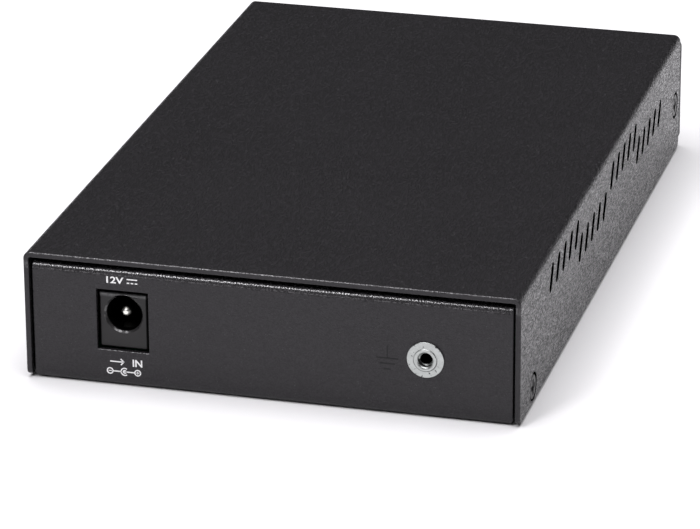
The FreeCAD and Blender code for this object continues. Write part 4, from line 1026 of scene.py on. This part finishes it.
class CONVERTER_OT_fibre_port(Maker, bpy.types.Operator):
    """Twin fibre port with its hooked inserts and ceramic sleeves"""
    bl_idname = "converter.fibre_port"
    bl_label = "Fibre port"

    def make(self, scene):
        plastic = scene.converter_plastic
        black = moulded_plastic("fibre_plastic", plastic.fibre_colour, 0.38)
        grey = moulded_plastic("latch_plastic", plastic.latch_colour, 0.35)
        white = plastic.sleeve_colour
        ceramic = moulded_plastic("sleeve_ceramic", white, 0.18, 0.5 * MM, 0.001 * MM)
        tin = plated_metal("lead_plating", scene.converter_metal.nickel_colour, 0.3)
        rounded("fibre_housing", "moulded_fibre_port", black)
        rounded("fibre_latches", "hooked_inserts", grey)
        rounded("fibre_sleeves", "ceramic_sleeves", ceramic)
        rounded("fibre_pins", "tinned_fibre_pins", tin)
        rounded("led_legs", "tinned_lamp_legs", tin)


class CONVERTER_OT_lamps(Maker, bpy.types.Operator):
    """Domed status lamps of the front"""
    bl_idname = "converter.lamps"
    bl_label = "Status lamps"

    def make(self, scene):
        lens = lamp_lens(scene.converter_plastic.lamp_colour)
        rounded("status_leds", "domed_lamps", lens, segments=4)


class CONVERTER_OT_board(Maker, bpy.types.Operator):
    """Circuit board and the parts soldered onto it"""
    bl_idname = "converter.board"
    bl_label = "Circuit board"

    def make(self, scene):
        plastic = scene.converter_plastic
        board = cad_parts["circuit_board"].data
        board.materials.clear()
        board.materials.append(board_laminate(plastic.board_colour))
        epoxy = moulded_plastic("chip_plastic", plastic.chip_colour, 0.55, 0.15 * MM)
        grey = plastic.ferrite_colour
        ferrite = moulded_plastic("inductor_ferrite", grey, 0.7, 0.3 * MM, 0.03 * MM)
        film = moulded_plastic("capacitor_sleeve", plastic.film_colour, 0.25, 1.2 * MM)
        can = plated_metal("crystal_can", scene.converter_metal.nickel_colour, 0.2)
        for node in ("converter_chip", "network_transformer", "voltage_regulator"):
            rounded(node, "moulded_" + node, epoxy)
        rounded("power_inductor", "ferrite_inductor", ferrite)
        rounded("filter_capacitors", "sleeved_capacitors", film,
                segments=3)
        rounded("clock_crystal", "metal_crystal_can", can)


class CONVERTER_OT_stage(Maker, bpy.types.Operator):
    """Pale floor, overhead softbox and camera"""
    bl_idname = "converter.stage"
    bl_label = "Stage"

    def make(self, scene):
        stage = scene.converter_stage
        add_floor(stage)
        add_room(scene, stage)
        overhead = UP * stage.box_height
        add_softbox("overhead_softbox", stage, overhead, (stage.box_size,) * 2, stage.box_power)
        rear_right = aimed(stage.key_way, stage.key_height) * stage.key_distance
        key_size = (stage.key_width, stage.key_tall)
        add_softbox("key_softbox", stage, rear_right, key_size, stage.key_power)
        add_camera(scene, stage)


def aimed(way, height):
    """Direction turned from the rear towards the right side, and raised from the floor."""
    level = math.cos(height)
    return Vector((math.sin(way) * level, math.cos(way) * level, math.sin(height)))


def add_floor(stage):
    """A floor of pale paper just under the object."""
    bm = bmesh.new()
    bmesh.ops.create_grid(bm, x_segments=1, y_segments=1, size=stage.floor_size / 2.0,
                          matrix=Matrix.Translation((0.0, 0.0, cad_low.z - 0.02 * MM)))
    mesh = bpy.data.meshes.new("floor")
    bm.to_mesh(mesh)
    bm.free()
    tree = Tree("floor_paper")
    tone = tree.blend(tree.noise(3 * MM), scaled(stage.floor_colour, 0.99), stage.floor_colour)
    mesh.materials.append(tree.finish(Base_Color=tone, Roughness=0.9, Specular_IOR_Level=0.2))
    new_object("floor", mesh)


def add_room(scene, stage):
    """An even, dim room, seen without tone mapping."""
    world = bpy.data.worlds.new("room")
    world.use_nodes = True
    background = world.node_tree.nodes["Background"]
    background.inputs["Color"].default_value = (1.0, 1.0, 1.0, 1.0)
    background.inputs["Strength"].default_value = stage.sky
    scene.world = world
    scene.view_settings.view_transform = "Standard"


def add_softbox(name, stage, place, size, power):
    """A softbox turned towards the object."""
    lamp = bpy.data.lights.new(name, "AREA")
    lamp.shape = "RECTANGLE"
    lamp.size, lamp.size_y = size
    lamp.energy = power
    lamp.color = stage.light_colour
    softbox = new_object(name, lamp)
    turn = place.to_track_quat("Z", "Y").to_matrix().to_4x4()
    softbox.matrix_world = Matrix.Translation(place) @ turn


def add_camera(scene, stage):
    """The camera, its azimuth counted from the front."""
    lens = bpy.data.cameras.new("camera")
    lens.lens = stage.lens
    lens.sensor_width = 36.0
    lens.clip_start = 0.05
    lens.clip_end = 50.0
    camera = new_object("camera", lens)
    back = aimed(math.pi - stage.azimuth, stage.elevation)
    place = Matrix.Translation(Vector(stage.aim) + back * stage.distance)
    turn = back.to_track_quat("Z", "Y").to_matrix().to_4x4()
    camera.matrix_world = place @ turn @ Matrix.Rotation(stage.roll, 4, "Z")
    scene.camera = camera


# ---- sidebar ----
OPERATORS = (CONVERTER_OT_case, CONVERTER_OT_bezel, CONVERTER_OT_screws, CONVERTER_OT_terminal,
             CONVERTER_OT_inlet, CONVERTER_OT_marks, CONVERTER_OT_copper_port,
             CONVERTER_OT_fibre_port, CONVERTER_OT_lamps, CONVERTER_OT_board, CONVERTER_OT_stage)
SETTINGS = {"converter_paint": PaintSettings, "converter_metal": MetalSettings,
            "converter_plastic": PlasticSettings, "converter_marks": MarkSettings,
            "converter_stage": StageSettings}


class CONVERTER_PT_panel(bpy.types.Panel):
    """Lists the pieces and their settings"""
    bl_idname = "CONVERTER_PT_panel"
    bl_label = "Fibre media converter"
    bl_space_type = "VIEW_3D"
    bl_region_type = "UI"
    bl_category = "Converter"

    def draw(self, context):
        for operator in OPERATORS:
            self.layout.operator(operator.bl_idname)
        for name, group in SETTINGS.items():
            box = self.layout.box()
            for setting in group.__annotations__:
                box.prop(getattr(context.scene, name), setting)


def register():
    for group in (*SETTINGS.values(), *OPERATORS, CONVERTER_PT_panel):
        bpy.utils.register_class(group)
    for name, group in SETTINGS.items():
        setattr(bpy.types.Scene, name, bpy.props.PointerProperty(type=group))


def unregister():
    for name in SETTINGS:
        delattr(bpy.types.Scene, name)
    for group in (CONVERTER_PT_panel, *OPERATORS, *SETTINGS.values()):
        bpy.utils.unregister_class(group)


def main():
    """Makes every piece and the stage."""
    register()
    for operator in OPERATORS:
        group, name = operator.bl_idname.split(".")
        getattr(getattr(bpy.ops, group), name)()


if __name__ == "__main__":
    main()
